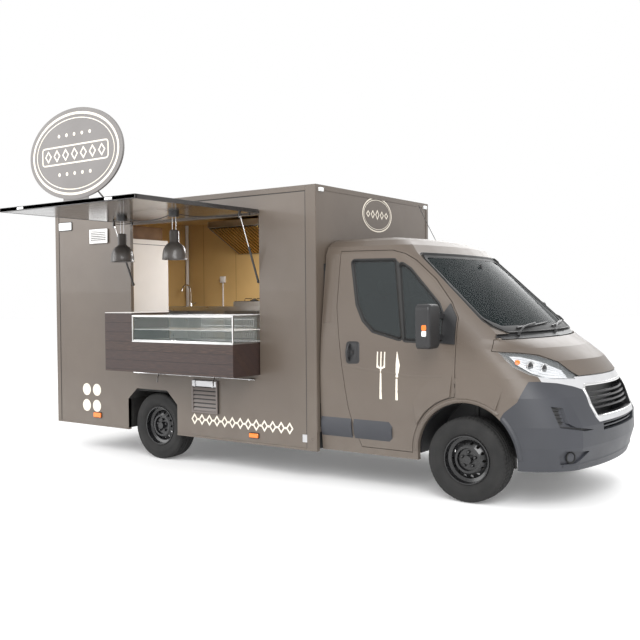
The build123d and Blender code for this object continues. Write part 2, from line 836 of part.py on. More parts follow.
with BuildPart() as box_floor:
    block((inner_rear, inner_front), (-inner_half, inner_half), (floor_z - floor_thick, floor_z))
save(box_floor, "box_floor")

with BuildPart() as box_right:
    block((box_rear, box_front), (-box_half, -inner_half), (box_bottom, box_top))
    panel(side(-box_half - 10), arch_points, -box_wall - 20, mode=Mode.SUBTRACT)
    block((serve_rear, serve_front), (-box_half, -inner_half), (serve_bottom, serve_top), mode=Mode.SUBTRACT)
    for x in lug_xs:
        block((x - lug_half, x + lug_half), (-hinge_y - hinge_r, -box_half), (hinge_z - 8, hinge_z + 8))
        rod(station(x - lug_half - 12), [(-hinge_y, hinge_z)], pin_r, 2 * lug_half + 24)
    for x, inward in ((serve_front, -1), (serve_rear, 1)):
        rod(station(x), [(-strut_pin_y, strut_pin_z)], strut_pin_r, inward * 38)
save(box_right, "box_right")

with BuildPart() as box_left:
    block((box_rear, box_front), (inner_half, box_half), (box_bottom, box_top))
    panel(side(box_half + 10), arch_points, box_wall + 20, mode=Mode.SUBTRACT)
save(box_left, "box_left")

with BuildPart() as box_front_wall:
    block((inner_front, box_front), (-inner_half, inner_half), (floor_z - floor_thick, box_top))
save(box_front_wall, "box_front_wall")

with BuildPart() as box_roof:
    block((inner_rear, inner_front), (-inner_half, inner_half), (inner_top, box_top))
save(box_roof, "box_roof")

rear_hinge_line = door_y + door_half + rear_hinge_y
with BuildPart() as box_rear_wall:
    block((box_rear, inner_rear), (-inner_half, inner_half), (rear_wall_low, box_top))
    block((box_rear, inner_rear), (door_y - door_half, door_y + door_half), (door_low, door_top), mode=Mode.SUBTRACT)
    for z in (door_low + rear_hinge_in, door_top - rear_hinge_in):
        block((box_rear - rear_hinge_x - 10, box_rear), (rear_hinge_line - hinge_r, rear_hinge_line + hinge_r),
              (z - rear_hinge_half + 20, z + rear_hinge_half - 20))
        rod(level(z - rear_hinge_half), [(box_rear - rear_hinge_x, rear_hinge_line)], pin_r, 2 * rear_hinge_half)
save(box_rear_wall, "box_rear_wall")

with BuildPart() as rear_door:
    block((box_rear, inner_rear), (door_y - door_half + panel_gap, door_y + door_half - panel_gap),
          (door_low + panel_gap, door_top - panel_gap))
    for z in (door_low + rear_hinge_in, door_top - rear_hinge_in):
        for z0 in (z - rear_hinge_half - 15, z + rear_hinge_half - 15):
            strap = (z0, z0 + knuckle_long)
            block((box_rear - 18, box_rear), (door_y + door_half - 60, door_y + door_half - panel_gap), strap)
            block((box_rear - 18, box_rear - 5), (door_y + door_half - 60, rear_hinge_line), strap)
            rod(level(z0), [(box_rear - rear_hinge_x, rear_hinge_line)], hinge_r, knuckle_long)
            rod(level(z0), [(box_rear - rear_hinge_x, rear_hinge_line)], pin_r + seal_gap, knuckle_long,
                mode=Mode.SUBTRACT)
save(rear_door, "rear_door")

hatch_front = serve_front + hatch_side_gap
hatch_rear = serve_rear - hatch_side_gap
gland_xs = [lamp_xs[0] - 403, lamp_xs[1] + 476]
gland_y = -hinge_y - 50
with BuildPart() as hatch:
    block((hatch_rear, hatch_front), (-hatch_reach, -hinge_y), (under, under + hatch_thick))
    rod(station(hatch_rear), [(-hinge_y, hinge_z)], hinge_r, hatch_front - hatch_rear)
    rod(station(hatch_rear), [(-hinge_y, hinge_z)], pin_r + seal_gap, hatch_front - hatch_rear, mode=Mode.SUBTRACT)
    for x in lug_xs:
        block((x - lug_half - 6, x + lug_half + 6), (-hinge_y - 2 * hinge_r, -hinge_y + hinge_r + 1),
              (under - 2, under + hatch_thick + 2), mode=Mode.SUBTRACT)
    for x in strut_xs:
        block((x - 16, x - 6), (-strut_eye_y - 14, -strut_eye_y + 14), (strut_eye_z - 12, under))
    for x in gland_xs:
        block((x - gland_long / 2, x + gland_long / 2), (gland_y, gland_y + gland_long), (under - 20, under))
save(hatch, "hatch")

# Gas struts, from a pin in the side of the opening to an eye under the hatch
run_y = strut_pin_y - strut_eye_y
run_z = strut_eye_z - strut_pin_z
strut_long = math.hypot(run_y, run_z)
strut_dir = Vector(0, run_y / strut_long, run_z / strut_long)
for x, name, inward in ((strut_xs[0], "right", -1), (strut_xs[1], "left", 1)):
    foot = Vector(axle_x + x, mid_y - strut_pin_y, strut_pin_z)
    along = Plane(origin=foot, x_dir=(1, 0, 0), z_dir=strut_dir)
    with BuildPart() as cylinder:
        with BuildSketch(along):
            Circle(strut_r)
        extrude(amount=strut_body)
        with BuildSketch(Plane(origin=foot - Vector(7, 0, 0), x_dir=(0, 1, 0), z_dir=(1, 0, 0))):
            Circle(strut_eye_r)
        extrude(amount=14)
        with BuildSketch(Plane(origin=foot - Vector(20, 0, 0), x_dir=(0, 1, 0), z_dir=(1, 0, 0))):
            Circle(strut_pin_r + seal_gap)
        extrude(amount=40, mode=Mode.SUBTRACT)
        with BuildSketch(along.offset(30)):
            Circle(rod_r + seal_gap)
        extrude(amount=strut_body, mode=Mode.SUBTRACT)
    save(cylinder, f"strut_cylinder_{name}")
    with BuildPart() as piston:
        with BuildSketch(along.offset(strut_body - 30)):
            Circle(rod_r)
        extrude(amount=strut_long - strut_body + 30)
        tip = foot + strut_dir * strut_long - Vector(5.7, 0, 0)
        with BuildSketch(Plane(origin=tip, x_dir=(0, 1, 0), z_dir=(1, 0, 0))):
            Circle(rod_eye_r)
        extrude(amount=10.7)
    save(piston, f"strut_rod_{name}")

# Lamps under the hatch
bell = [
    # radius and distance below the hatch, outside
    (0, 60), (6, 60), (40, 62), (52, 75), (56, 190), (78, 240), (128, 330), (148, 392), (148, 400),
]
bell_inside = [
    # radius and distance below the hatch, inside
    (145, 400), (145, 392), (125, 330), (75, 243), (53, 193), (49, 78), (37, 65), (0, 65),
]
with BuildPart() as hatch_lamps:
    for x in lamp_xs:
        with BuildSketch(station(x)):
            with BuildLine():
                Polyline(*[(r - lamp_y, under - d) for r, d in bell + bell_inside], close=True)
            make_face()
        revolve(axis=Axis((axle_x + x, mid_y - lamp_y, 0), (0, 0, 1)), revolution_arc=360)
        rod(level(under - 62), [(x, -lamp_y)], shade_thick, 62)
        rod(level(under - lamp_cap_deep), [(x, -lamp_y)], lamp_cap_r, lamp_cap_deep)
save(hatch_lamps, "hatch_lamps")

# The lamps' cable, held by the glands at the hatch's inner edge and by the lamps' caps
cap_side = lamp_cap_r + 1
gland_side = gland_y - 1
cable_top = under - 20
cable_runs = [
    [(gland_xs[0], gland_side, under - 9), (gland_xs[0] + 12, gland_y - 130, under - 28),
     (gland_xs[0] + 90, gland_y - 290, under - 41), (lamp_xs[0] - 180, 55 - lamp_y, under - 38),
     (lamp_xs[0] - 110, 6 - lamp_y, under - 27), (lamp_xs[0] - cap_side, -lamp_y, cable_top)],
    [(lamp_xs[0] + cap_side, -lamp_y, cable_top), (lamp_xs[0] + 170, 4 - lamp_y, under - 46),
     (lamp_xs[0] + 345, 12 - lamp_y, under - 61), (lamp_xs[1] - 170, 5 - lamp_y, under - 45),
     (lamp_xs[1] - cap_side, -lamp_y, cable_top)],
    [(lamp_xs[1] + cap_side, -lamp_y, cable_top), (lamp_xs[1] + 178, 30 - lamp_y, under - 45),
     (lamp_xs[1] + 320, 140 - lamp_y, under - 54), (gland_xs[1] - 40, 290 - lamp_y, under - 40),
     (gland_xs[1] - 4, gland_y - 95, under - 21), (gland_xs[1], gland_side, under - 9)],
]


def cable(points):
    """A tube along straight runs and the largest arcs that they allow."""
    places = [Vector(axle_x + x, mid_y + y, z) for x, y, z in points]
    radii = []
    for before, here, after in zip(places, places[1:], places[2:]):
        shorter = min((here - before).length, (after - here).length)
        turn = math.radians((here - before).get_angle(after - here))
        radii.append(0.45 * shorter / math.tan(turn / 2))
    print("cable radii", [round(r) for r in radii])
    with BuildPart() as tube:
        with BuildLine():
            route = FilletPolyline(*places, radius=radii)
        with BuildSketch(Plane(origin=route @ 0, z_dir=route % 0)):
            Circle(cable_r)
        sweep()
    return tube.part


with BuildPart() as lamp_cable:
    for points in cable_runs:
        add(cable(points))
save(lamp_cable, "lamp_cable")

# Counter that slides out of the opening, with a glass case on it
with BuildPart() as counter:
    block((counter_rear, counter_front), (-counter_y, -counter_in), (counter_low, ledge_z))
    block((counter_rear, case_rear), (-counter_y, -counter_in), (counter_low, counter_top))
    block((counter_rear + counter_wall, case_rear - counter_wall), (-counter_y + counter_wall, -counter_in),
          (counter_low + counter_wall, counter_top - counter_wall), mode=Mode.SUBTRACT)
    block((case_rear, counter_front - counter_wall), (-counter_y + counter_wall, -counter_in),
          (counter_low + counter_wall, ledge_z - counter_wall), mode=Mode.SUBTRACT)
save(counter, "counter")

with BuildPart() as display_frame:
    for y in (-counter_y + 2, -counter_in - bar):
        for z in (ledge_z, case_top - bar):
            block((case_rear, counter_front), (y, y + bar), (z, z + bar))
        for x in (case_rear, counter_front - bar):
            block((x, x + bar), (y, y + bar), (ledge_z, case_top))
    for x in (case_rear, counter_front - bar):
        for z in (ledge_z, case_top - bar):
            block((x, x + bar), (-counter_y + 2, -counter_in), (z, z + bar))
    block((case_rear, counter_front), (-counter_y + 2 + bar, -counter_in), (shelf_z, shelf_z + shelf_thick))
save(display_frame, "display_frame")

with BuildPart() as display_glass:
    block((case_rear + bar + seal_gap, counter_front - bar - seal_gap), (-counter_y + 5, -counter_y + 5 + case_glass),
          (ledge_z + bar + seal_gap, case_top - bar - seal_gap))
save(display_glass, "display_glass")

# Kitchen fittings along the left wall and the rear
with BuildPart() as worktop:
    block((inner_rear, inner_front), (work_front, inner_half), (floor_z, work_top))
    for x in bay_xs:
        block((x, x + bay_long), (work_front, inner_half - work_wall), (floor_z + 100, work_top - work_skin),
              mode=Mode.SUBTRACT)
save(worktop, "worktop")

with BuildPart() as fridge:
    block((inner_rear, fridge_front), (-inner_half, -inner_half + fridge_wide), (floor_z, fridge_top))
save(fridge, "fridge")

hood_rear = serve_rear - hood_behind
with BuildPart() as range_hood:
    panel(station(hood_rear), [(430, hood_top), (430, hood_top - 70), (inner_half, hood_top - 370),
                               (inner_half, hood_top)], hood_long)
save(range_hood, "range_hood")

cooker_rear = serve_rear + cooker_ahead
with BuildPart() as cooker:
    block((cooker_rear, cooker_rear + cooker_long), (work_front + 80, inner_half - 50), (work_top, work_top + 60))
save(cooker, "cooker")

# Vents on the serving side: a frame with slats that slope down and out
wall_vents_table = [
    # rear end, length, bottom, height, slats
    (box_rear + 598, 279, 2250, 150, 6),
    (serve_rear + 869, 336, 530, 320, 7),
]
with BuildPart() as wall_vents:
    for x0, vent_long, z0, vent_high, slats in wall_vents_table:
        x1 = x0 + vent_long
        z1 = z0 + vent_high
        block((x0, x1), (-box_half - vent_depth, -box_half), (z0, z1))
        block((x0 + vent_edge, x1 - vent_edge), (-box_half - vent_depth, -box_half - 4),
              (z0 + vent_edge, z1 - vent_edge), mode=Mode.SUBTRACT)
        pitch = (z1 - z0 - 2 * vent_edge) / slats
        for i in range(slats):
            low = z0 + vent_edge + i * pitch
            panel(station(x0 + vent_edge), [(-box_half - 4, low + pitch), (2 - box_half - vent_depth, low + 3),
                                            (2 - box_half - vent_depth, low + 3 + slat_thick),
                                            (-box_half - 4, low + pitch + slat_thick)],
                  x1 - x0 - 2 * vent_edge)
save(wall_vents, "wall_vents")

with BuildPart() as rear_lamps:
    for sign in (right, left):
        middle = sign * (inner_half - 2 * rear_lamp_half)
        block((box_rear - rear_lamp_depth, box_rear), (middle - rear_lamp_half, middle + rear_lamp_half),
              (rear_lamp_z - rear_lamp_high / 2, rear_lamp_z + rear_lamp_high / 2))
    fillet(rear_lamps.edges().group_by(Axis.X)[0], 12)
save(rear_lamps, "rear_lamps")

# The sign stands on a foot and is braced from behind
with BuildPart() as roof_sign:
    with BuildSketch(side(sign_y - sign_thick / 2)):
        with Locations((sign_x, sign_z)):
            Ellipse(sign_half_x, sign_half_z)
    extrude(amount=-sign_thick)
    block((sign_x - post_half, sign_x + post_half), (sign_y - post_thick / 2, sign_y + post_thick / 2),
          (box_top, sign_z))
    block((sign_x - foot_half, sign_x + foot_half), (sign_y - foot_wide / 2, sign_y + foot_wide / 2),
          (box_top, box_top + foot_thick))
    for sign in (right, left):
        high = Vector(axle_x + sign_x + sign * brace_half, mid_y + sign_y, brace_z)
        low = Vector(high.X, high.Y + brace_back, box_top + brace_r)
        with BuildSketch(Plane(origin=high, z_dir=low - high)):
            Circle(brace_r)
        extrude(amount=(low - high).length)
        block((high.X - axle_x - 30, high.X - axle_x + 30),
              (sign_y + brace_back - 30, sign_y + brace_back + 30), (box_top, box_top + 2 * brace_r))
save(roof_sign, "roof_sign")

# Mirrors: a rounded head on two arms that come out of a sail in the door's corner
arm_x = mirror_x - arm_deep / 2
arm_zs = (mirror_low + 65, mirror_high - 120)
with BuildPart() as mirror_head:
    head_xs = (mirror_x - mirror_deep / 2, mirror_x + mirror_deep / 2)
    block(head_xs, (-mirror_out, -mirror_in), (mirror_low, mirror_high))
    fillet(mirror_head.edges().filter_by(Axis.X), mirror_round)
    fillet(mirror_head.edges().group_by(Axis.X)[-1], mirror_round / 2)
with BuildPart() as sail:
    add(cab_form(-12, 0, 0))
    add(cab_form(-seal_gap, 0, form_below), mode=Mode.SUBTRACT)
    add(cab_zone(sail_points, right, flank_depth), mode=Mode.INTERSECT)
with BuildPart() as mirror_right:
    add(mirror_head.part)
    for z in arm_zs:
        block((arm_x, arm_x + arm_deep), (-arm_in, -mirror_in - 10), (z, z + arm_high))
    add(cab_form(-seal_gap, 0, 0), mode=Mode.SUBTRACT)
    add(sail.part)
save(mirror_right, "mirror_right")
with BuildPart() as mirror_left:
    mirror(mirror_right.part, about=side(0))
save(mirror_left, "mirror_left")

with BuildPart() as rear_step:
    block((box_rear, box_rear + step_long), (-step_half, step_half), (step_z, step_z + step_thick))
    for sign in (right, left):
        block((rail_rear - 30, rail_rear + 50), (sign * rail_in, sign * rail_out),
              (step_z + step_thick, rail_top - rail_deep))
save(rear_step, "rear_step")
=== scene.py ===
import bpy
import bmesh
import json
import math
from mathutils import Matrix, Vector
from mathutils.bvhtree import BVHTree


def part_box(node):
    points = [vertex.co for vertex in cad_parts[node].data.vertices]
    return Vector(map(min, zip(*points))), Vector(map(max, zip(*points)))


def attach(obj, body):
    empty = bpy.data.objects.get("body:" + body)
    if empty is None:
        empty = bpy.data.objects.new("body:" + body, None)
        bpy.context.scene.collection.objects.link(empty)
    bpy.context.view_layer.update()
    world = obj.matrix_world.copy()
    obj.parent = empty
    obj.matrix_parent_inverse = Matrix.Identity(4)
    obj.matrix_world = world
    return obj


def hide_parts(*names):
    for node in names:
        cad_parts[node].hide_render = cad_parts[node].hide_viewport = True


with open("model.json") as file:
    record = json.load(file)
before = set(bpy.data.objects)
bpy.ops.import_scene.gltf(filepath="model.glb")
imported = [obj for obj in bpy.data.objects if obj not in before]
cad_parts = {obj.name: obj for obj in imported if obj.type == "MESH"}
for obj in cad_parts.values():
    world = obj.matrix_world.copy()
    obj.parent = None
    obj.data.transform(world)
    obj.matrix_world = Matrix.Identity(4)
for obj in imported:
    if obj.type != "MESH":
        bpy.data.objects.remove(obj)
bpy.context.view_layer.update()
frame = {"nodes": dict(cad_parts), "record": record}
nodes = frame["nodes"]
right, left = -1, 1
sides = ((right, "right"), (left, "left"))
up, down = Vector((0, 0, 1)), Vector((0, 0, -1))


# Places are metres from the front axle: x forward, y to the left of the middle, z up from the floor
def middle(node):
    low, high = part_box(node)
    return (low + high) / 2


axle = middle("tyre_front_right")
mid_y = (axle.y + middle("tyre_front_left").y) / 2
rear_axle = middle("tyre_rear_right").x - axle.x


def at(x, y, z):
    return Vector((axle.x + x, mid_y + y, z))


def span(node):
    """A node's lowest and highest corners in the truck's own measures."""
    low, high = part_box(node)
    return low - at(0, 0, 0), high - at(0, 0, 0)


box_low, box_high = span("box_right")
box_half = span("box_left")[1].y
box_rear, box_front = box_low.x, box_high.x
box_bottom, box_top = box_low.z, box_high.z
floor_low, floor_high = span("box_floor")
inner_rear, inner_front = floor_low.x, floor_high.x
inner_side, floor_z = floor_high.y, floor_high.z
roof_z = span("box_roof")[0].z

# Camera, at the photograph's place and angle
cam_place = at(2.915, -7.157, 1.640)
cam_yaw, cam_pitch, cam_roll = 35.07, -1.46, -0.45
focal_px, image_px, sensor = 847, 640, 36
camera = bpy.data.objects.new("camera", bpy.data.cameras.new("camera"))
bpy.context.scene.collection.objects.link(camera)
camera.data.sensor_width = sensor
camera.data.lens = focal_px / image_px * sensor
camera.data.clip_end = 200
turn = Matrix.Rotation(math.radians(cam_yaw), 4, "Z")
tilt = Matrix.Rotation(math.radians(90 + cam_pitch), 4, "X")
roll = Matrix.Rotation(math.radians(cam_roll), 4, "Z")
camera.matrix_world = Matrix.Translation(cam_place) @ turn @ tilt @ roll
bpy.context.scene.camera = camera


# Materials
class Shader:
    """A material's nodes, with short ways to make and join them."""

    def __init__(self, name):
        self.mat = bpy.data.materials.new(name)
        self.mat.use_nodes = True
        self.nodes, self.links = self.mat.node_tree.nodes, self.mat.node_tree.links
        self.inputs = self.nodes["Principled BSDF"].inputs
        self.coord = self.nodes.new("ShaderNodeTexCoord").outputs["Object"]

    def feed(self, entry, value):
        """Sets a socket to a number, a colour or a vector, or joins it to another socket."""
        if isinstance(value, tuple):
            entry.default_value = (*value, 1)[:len(entry.default_value)]
        elif isinstance(value, (int, float)):
            entry.default_value = value
        else:
            self.links.new(value, entry)

    def node(self, kind, entries):
        node = self.nodes.new(f"ShaderNode{kind}")
        for name, value in entries.items():
            self.feed(node.inputs[name], value)
        return node

    def surface(self, entries):
        for name, value in entries.items():
            self.feed(self.inputs[name], value)

    def noise(self, scale, detail=3, stretch=(1, 1, 1), rough=0.5):
        mapping = self.node("Mapping", {"Vector": self.coord, "Scale": stretch})
        return self.node("TexNoise", {"Vector": mapping.outputs["Vector"], "Scale": scale, "Detail": detail,
                                      "Roughness": rough}).outputs["Fac"]

    def ramp(self, value, *stops):
        node = self.node("ValToRGB", {"Fac": value})
        while len(node.color_ramp.elements) < len(stops):
            node.color_ramp.elements.new(0.5)
        for element, (place, colour) in zip(node.color_ramp.elements, stops):
            element.position = place
            element.color = (*colour, 1)
        return node.outputs["Color"]

    def tones(self, value, dark, light):
        return self.ramp(value, (0.3, dark), (0.7, light))

    def spread(self, value, low, high, start=0.0, end=1.0):
        return self.node("MapRange", {"Value": value, "From Min": start, "From Max": end, "To Min": low,
                                      "To Max": high}).outputs["Result"]

    def mix(self, factor, first, second):
        node = self.nodes.new("ShaderNodeMix")
        node.data_type = "RGBA"
        colours = [entry for entry in node.inputs if entry.type == "RGBA"]
        for entry, value in zip((node.inputs["Factor"], *colours), (factor, first, second)):
            self.feed(entry, value)
        return [out for out in node.outputs if out.type == "RGBA"][0]

    def bump(self, height, strength, distance):
        node = self.node("Bump", {"Height": height, "Strength": strength, "Distance": distance})
        self.feed(self.inputs["Normal"], node.outputs["Normal"])

    def axes(self):
        """The x, y and z of the shaded point, in the frame's metres."""
        return self.node("SeparateXYZ", {"Vector": self.coord}).outputs

    def maths(self, kind, first, second):
        node = self.nodes.new("ShaderNodeMath")
        node.operation = kind
        self.feed(node.inputs[0], first)
        self.feed(node.inputs[1], second)
        return node.outputs[0]

    def between(self, value, low, high):
        """One where the value lies between low and high, and zero elsewhere."""
        over, under = self.maths("GREATER_THAN", value, low), self.maths("LESS_THAN", value, high)
        return self.maths("MULTIPLY", over, under)


def finish(name, dark, light, rough, patch=2.0, grain=400, depth=0.0002, metallic=0.0, coat=0.0,
           stretch=(1, 1, 1), dust=None):
    """A painted, moulded or metal surface with drifting colour, uneven gloss and a fine grain."""
    paint = Shader(name)
    colour = paint.tones(paint.noise(patch, 5), dark, light)
    if dust:
        low = paint.spread(paint.axes()["Z"], 0.55, 0.0, 0.25, 1.1)
        colour = paint.mix(paint.maths("MULTIPLY", low, paint.noise(6, 6)), colour, dust)
    paint.surface({"Base Color": colour, "Metallic": metallic, "Coat Weight": coat, "Coat Roughness": 0.12,
                   "Roughness": paint.spread(paint.noise(patch * 4, 6), rough - 0.07, rough + 0.07)})
    paint.bump(paint.noise(grain, 2, stretch), 0.35, depth)
    return paint.mat


def clear(name, tint, alpha, gloss):
    """Tinted glass or clear plastic."""
    paint = Shader(name)
    paint.surface({"Base Color": paint.tones(paint.noise(3, 2), tint, tuple(c * 1.1 for c in tint)),
                   "Roughness": paint.spread(paint.noise(9, 4), 0.02, 0.06), "Alpha": alpha, "IOR": 1.5,
                   "Specular IOR Level": gloss})
    paint.mat.surface_render_method = "BLENDED"
    return paint.mat


def grey(value):
    return (value, value, value)


taupe_dark, taupe_light, road_dust = (0.090, 0.070, 0.055), (0.104, 0.082, 0.064), (0.17, 0.15, 0.13)
ochre_dark, ochre_light = (0.52, 0.34, 0.135), (0.62, 0.42, 0.18)

finishes = {
    # dark and light tone, roughness, and what differs from a plain moulding
    "body_paint": (taupe_dark, taupe_light, 0.46, dict(coat=0.06, grain=900, depth=0.00005, dust=road_dust)),
    "dark_plastic": ((0.028, 0.030, 0.036), (0.038, 0.040, 0.048), 0.48, dict(grain=700, depth=0.0004)),
    "black_plastic": ((0.012, 0.012, 0.013), (0.02, 0.02, 0.021), 0.42, dict(grain=700, depth=0.0003)),
    "chassis_black": (grey(0.012), (0.03, 0.028, 0.026), 0.6, dict(patch=9, grain=150, depth=0.0006)),
    "cast": ((0.09, 0.085, 0.08), (0.17, 0.16, 0.15), 0.6,
             dict(patch=14, grain=120, depth=0.0008, metallic=0.7)),
    "tyre": (grey(0.006), (0.014, 0.0135, 0.013), 0.82, dict(patch=8, grain=260, depth=0.0006)),
    "rim_black": ((0.004, 0.004, 0.0045), (0.011, 0.011, 0.012), 0.28, dict(patch=12, grain=200, coat=0.3)),
    "silver": ((0.44, 0.44, 0.45), (0.56, 0.56, 0.57), 0.3,
               dict(patch=5, grain=900, depth=0.00006, metallic=0.75, coat=0.4)),
    "lamp_chrome": ((0.62, 0.63, 0.65), (0.80, 0.81, 0.83), 0.2,
                    dict(patch=9, grain=40, depth=0.0008, metallic=0.6)),
    "seat_fabric": ((0.02, 0.02, 0.022), (0.05, 0.05, 0.052), 0.9, dict(patch=30, grain=1200, depth=0.0008)),
    "steel": (grey(0.52), (0.66, 0.66, 0.65), 0.3,
              dict(patch=4, grain=60, depth=0.0001, metallic=1.0, stretch=(1, 30, 30))),
    "white_panel": ((0.66, 0.64, 0.62), (0.74, 0.72, 0.70), 0.4, dict(grain=500, depth=0.0001)),
    "box_floor": (grey(0.12), grey(0.2), 0.7, dict(grain=180, depth=0.001)),
    "hatch_dark": ((0.026, 0.023, 0.022), (0.040, 0.036, 0.034), 0.2, dict(depth=0.00004, coat=0.5)),
    "lamp_grey": ((0.048, 0.041, 0.037), (0.066, 0.057, 0.051), 0.38,
                  dict(grain=500, depth=0.0001, coat=0.3)),
    "sign": ((0.155, 0.145, 0.14), (0.185, 0.175, 0.17), 0.55, dict(grain=300)),
    "chrome": (grey(0.62), grey(0.74), 0.16, dict(grain=300, depth=0.00005, metallic=1.0)),
    "cream": ((0.74, 0.68, 0.58), (0.8, 0.74, 0.64), 0.5, dict(grain=500, depth=0.0001)),
    "amber": ((0.75, 0.16, 0.01), (0.85, 0.22, 0.02), 0.22, dict(grain=200, depth=0.0003, coat=0.6)),
    "white_lens": ((0.7, 0.72, 0.72), (0.82, 0.84, 0.84), 0.2, dict(grain=200, depth=0.0004, coat=0.6)),
    "red_lens": ((0.38, 0.008, 0.008), (0.5, 0.015, 0.012), 0.2, dict(grain=200, depth=0.0003, coat=0.6)),
    "cable_black": (grey(0.01), grey(0.02), 0.5, dict(patch=20, grain=900, depth=0.0001)),
    "rubber": (grey(0.008), grey(0.014), 0.62, dict(grain=500)),
    "mirror_glass": ((0.60, 0.62, 0.64), (0.66, 0.68, 0.70), 0.09,
                     dict(grain=60, depth=0.00002, metallic=1.0)),
    "hob_black": ((0.010, 0.010, 0.011), (0.018, 0.018, 0.019), 0.2, dict(grain=300, depth=0.0001, coat=0.6)),
    "box_brown": ((0.13, 0.07, 0.035), (0.22, 0.13, 0.07), 0.6,
                  dict(patch=5, grain=120, depth=0.0006, stretch=(1, 10, 10))),
    "brass": ((0.45, 0.28, 0.08), (0.6, 0.4, 0.14), 0.3, dict(grain=200, depth=0.0001, metallic=1.0)),
    "floor": (grey(0.86), grey(0.88), 0.7, dict(patch=0.4, grain=3, depth=0.0001)),
}
looks = {name: finish(name, dark, light, rough, **more)
         for name, (dark, light, rough, more) in finishes.items()}
for name, tint, alpha, gloss in (("glass", (0.018, 0.023, 0.024), 0.74, 0.6),
                                 ("screen_glass", (0.018, 0.023, 0.024), 0.68, 0.004),
                                 ("case_glass", (0.30, 0.36, 0.35), 0.10, 0.5),
                                 ("lamp_lens", (0.80, 0.84, 0.86), 0.10, 0.8)):
    looks[name] = clear(name, tint, alpha, gloss)


def wall_paint():
    """The box's walls: taupe paint outside and ochre boards inside, with upright joints."""
    paint = Shader("box_paint")
    place = paint.axes()
    near = 0.0015
    inside = 1.0
    for axis, low, high in (("X", axle.x + inner_rear, axle.x + inner_front),
                            ("Y", mid_y - inner_side, mid_y + inner_side), ("Z", floor_z, roof_z)):
        inside = paint.maths("MULTIPLY", inside, paint.between(place[axis], low - near, high + near))
    outside = paint.tones(paint.noise(2, 5), taupe_dark, taupe_light)
    low = paint.spread(place["Z"], 0.5, 0.0, 0.25, 1.0)
    outside = paint.mix(paint.maths("MULTIPLY", low, paint.noise(5, 6)), outside, road_dust)
    boards = paint.tones(paint.noise(1.5, 6), ochre_dark, ochre_light)
    board_wide, joint_wide, far = 0.55, 0.006, 20.0
    step = paint.maths("MODULO", paint.maths("ADD", place["X"], far), board_wide)
    boards = paint.mix(paint.maths("LESS_THAN", step, joint_wide), boards, (0.25, 0.15, 0.04))
    paint.surface({"Base Color": paint.mix(inside, outside, boards), "Coat Weight": 0.1,
                   "Roughness": paint.spread(paint.noise(7, 5), 0.34, 0.5)})
    paint.bump(paint.noise(700, 2), 0.3, 0.0001)
    return paint.mat


def plank_wood():
    """Dark boards laid lengthways, each with its own tone, grain along it and a shadow gap."""
    paint = Shader("wood")
    place = paint.axes()
    plank = 0.092
    row = paint.maths("DIVIDE", paint.maths("ADD", place["Z"], place["Y"]), plank)
    tone = paint.nodes.new("ShaderNodeTexWhiteNoise")
    tone.noise_dimensions = "1D"
    paint.feed(tone.inputs["W"], paint.maths("FLOOR", row, 0.0))
    grain = paint.noise(9, 8, (1, 14, 14), 0.65)
    base = paint.ramp(grain, (0.30, (0.012, 0.006, 0.005)), (0.5, (0.032, 0.017, 0.013)),
                      (0.72, (0.075, 0.042, 0.030)))
    shade = paint.mix(paint.spread(tone.outputs["Value"], 0.0, 0.45), base, (0.028, 0.016, 0.016))
    gap = paint.maths("LESS_THAN", paint.maths("FRACT", row, 0.0), 0.035)
    paint.surface({"Base Color": paint.mix(gap, shade, (0.006, 0.004, 0.004)),
                   "Roughness": paint.spread(grain, 0.42, 0.7)})
    paint.bump(paint.maths("SUBTRACT", grain, paint.maths("MULTIPLY", gap, 1.5)), 0.6, 0.0015)
    return paint.mat


def split_paint(name, part, first, second, rough, metallic, shadow=None):
    """Two colours parted by place: first where part says one and second elsewhere. With a shadow, what lies
    less than that far out from the box's right wall gets a near-black painted shade, standing in for the
    shade in the vent's recess."""
    paint = Shader(name)
    place = paint.axes()
    drift = paint.noise(4, 4)
    first, second = [paint.tones(drift, tone, tuple(c * 1.15 for c in tone)) for tone in (first, second)]
    colour = paint.mix(part(paint, place), second, first)
    if shadow:
        # painted shade: near-black over the vent's parts close to the box wall, where shade falls between the
        # slats
        painted_shade = paint.maths("GREATER_THAN", place["Y"], mid_y - box_half - shadow)
        colour = paint.mix(painted_shade, colour, (0.02, 0.018, 0.018))
    paint.surface({"Base Color": colour, "Metallic": metallic,
                   "Roughness": paint.spread(paint.noise(12, 5), rough - 0.05, rough + 0.05)})
    paint.bump(paint.noise(600, 2), 0.3, 0.0001)
    return paint.mat


def lower_vent(paint, place):
    return paint.maths("LESS_THAN", place["Z"], 1.5)


def behind_surround(paint, place):
    """One inside the grille's opening, where the bars are."""
    half = 0.4985
    return paint.maths("MULTIPLY", paint.between(place["Y"], mid_y - half, mid_y + half),
                       paint.between(place["Z"], 0.7045, 0.9315))


# lower vent taupe, upper vent white; 0.011 is how far out from the box wall the vents get painted shade
looks["vent_paint"] = split_paint("vent_paint", lower_vent, (0.13, 0.11, 0.10), (0.66, 0.65, 0.64), 0.4, 0.0,
                                  0.011)
looks["grille_parts"] = split_paint("grille_parts", behind_surround, (0.014, 0.014, 0.015),
                                    (0.50, 0.50, 0.51), 0.3, 0.35)
looks["box_paint"] = wall_paint()
looks["wood"] = plank_wood()

slots = {s["node"]: s["material_slot"] for s in frame["record"]["subparts"]}
own_looks = {"display_glass": "case_glass", "windscreen": "screen_glass", "grille": "grille_parts",
             "wall_vents": "vent_paint"}
for name, piece in nodes.items():
    piece.data.materials.clear()
    piece.data.materials.append(looks[own_looks.get(name, slots[name])])


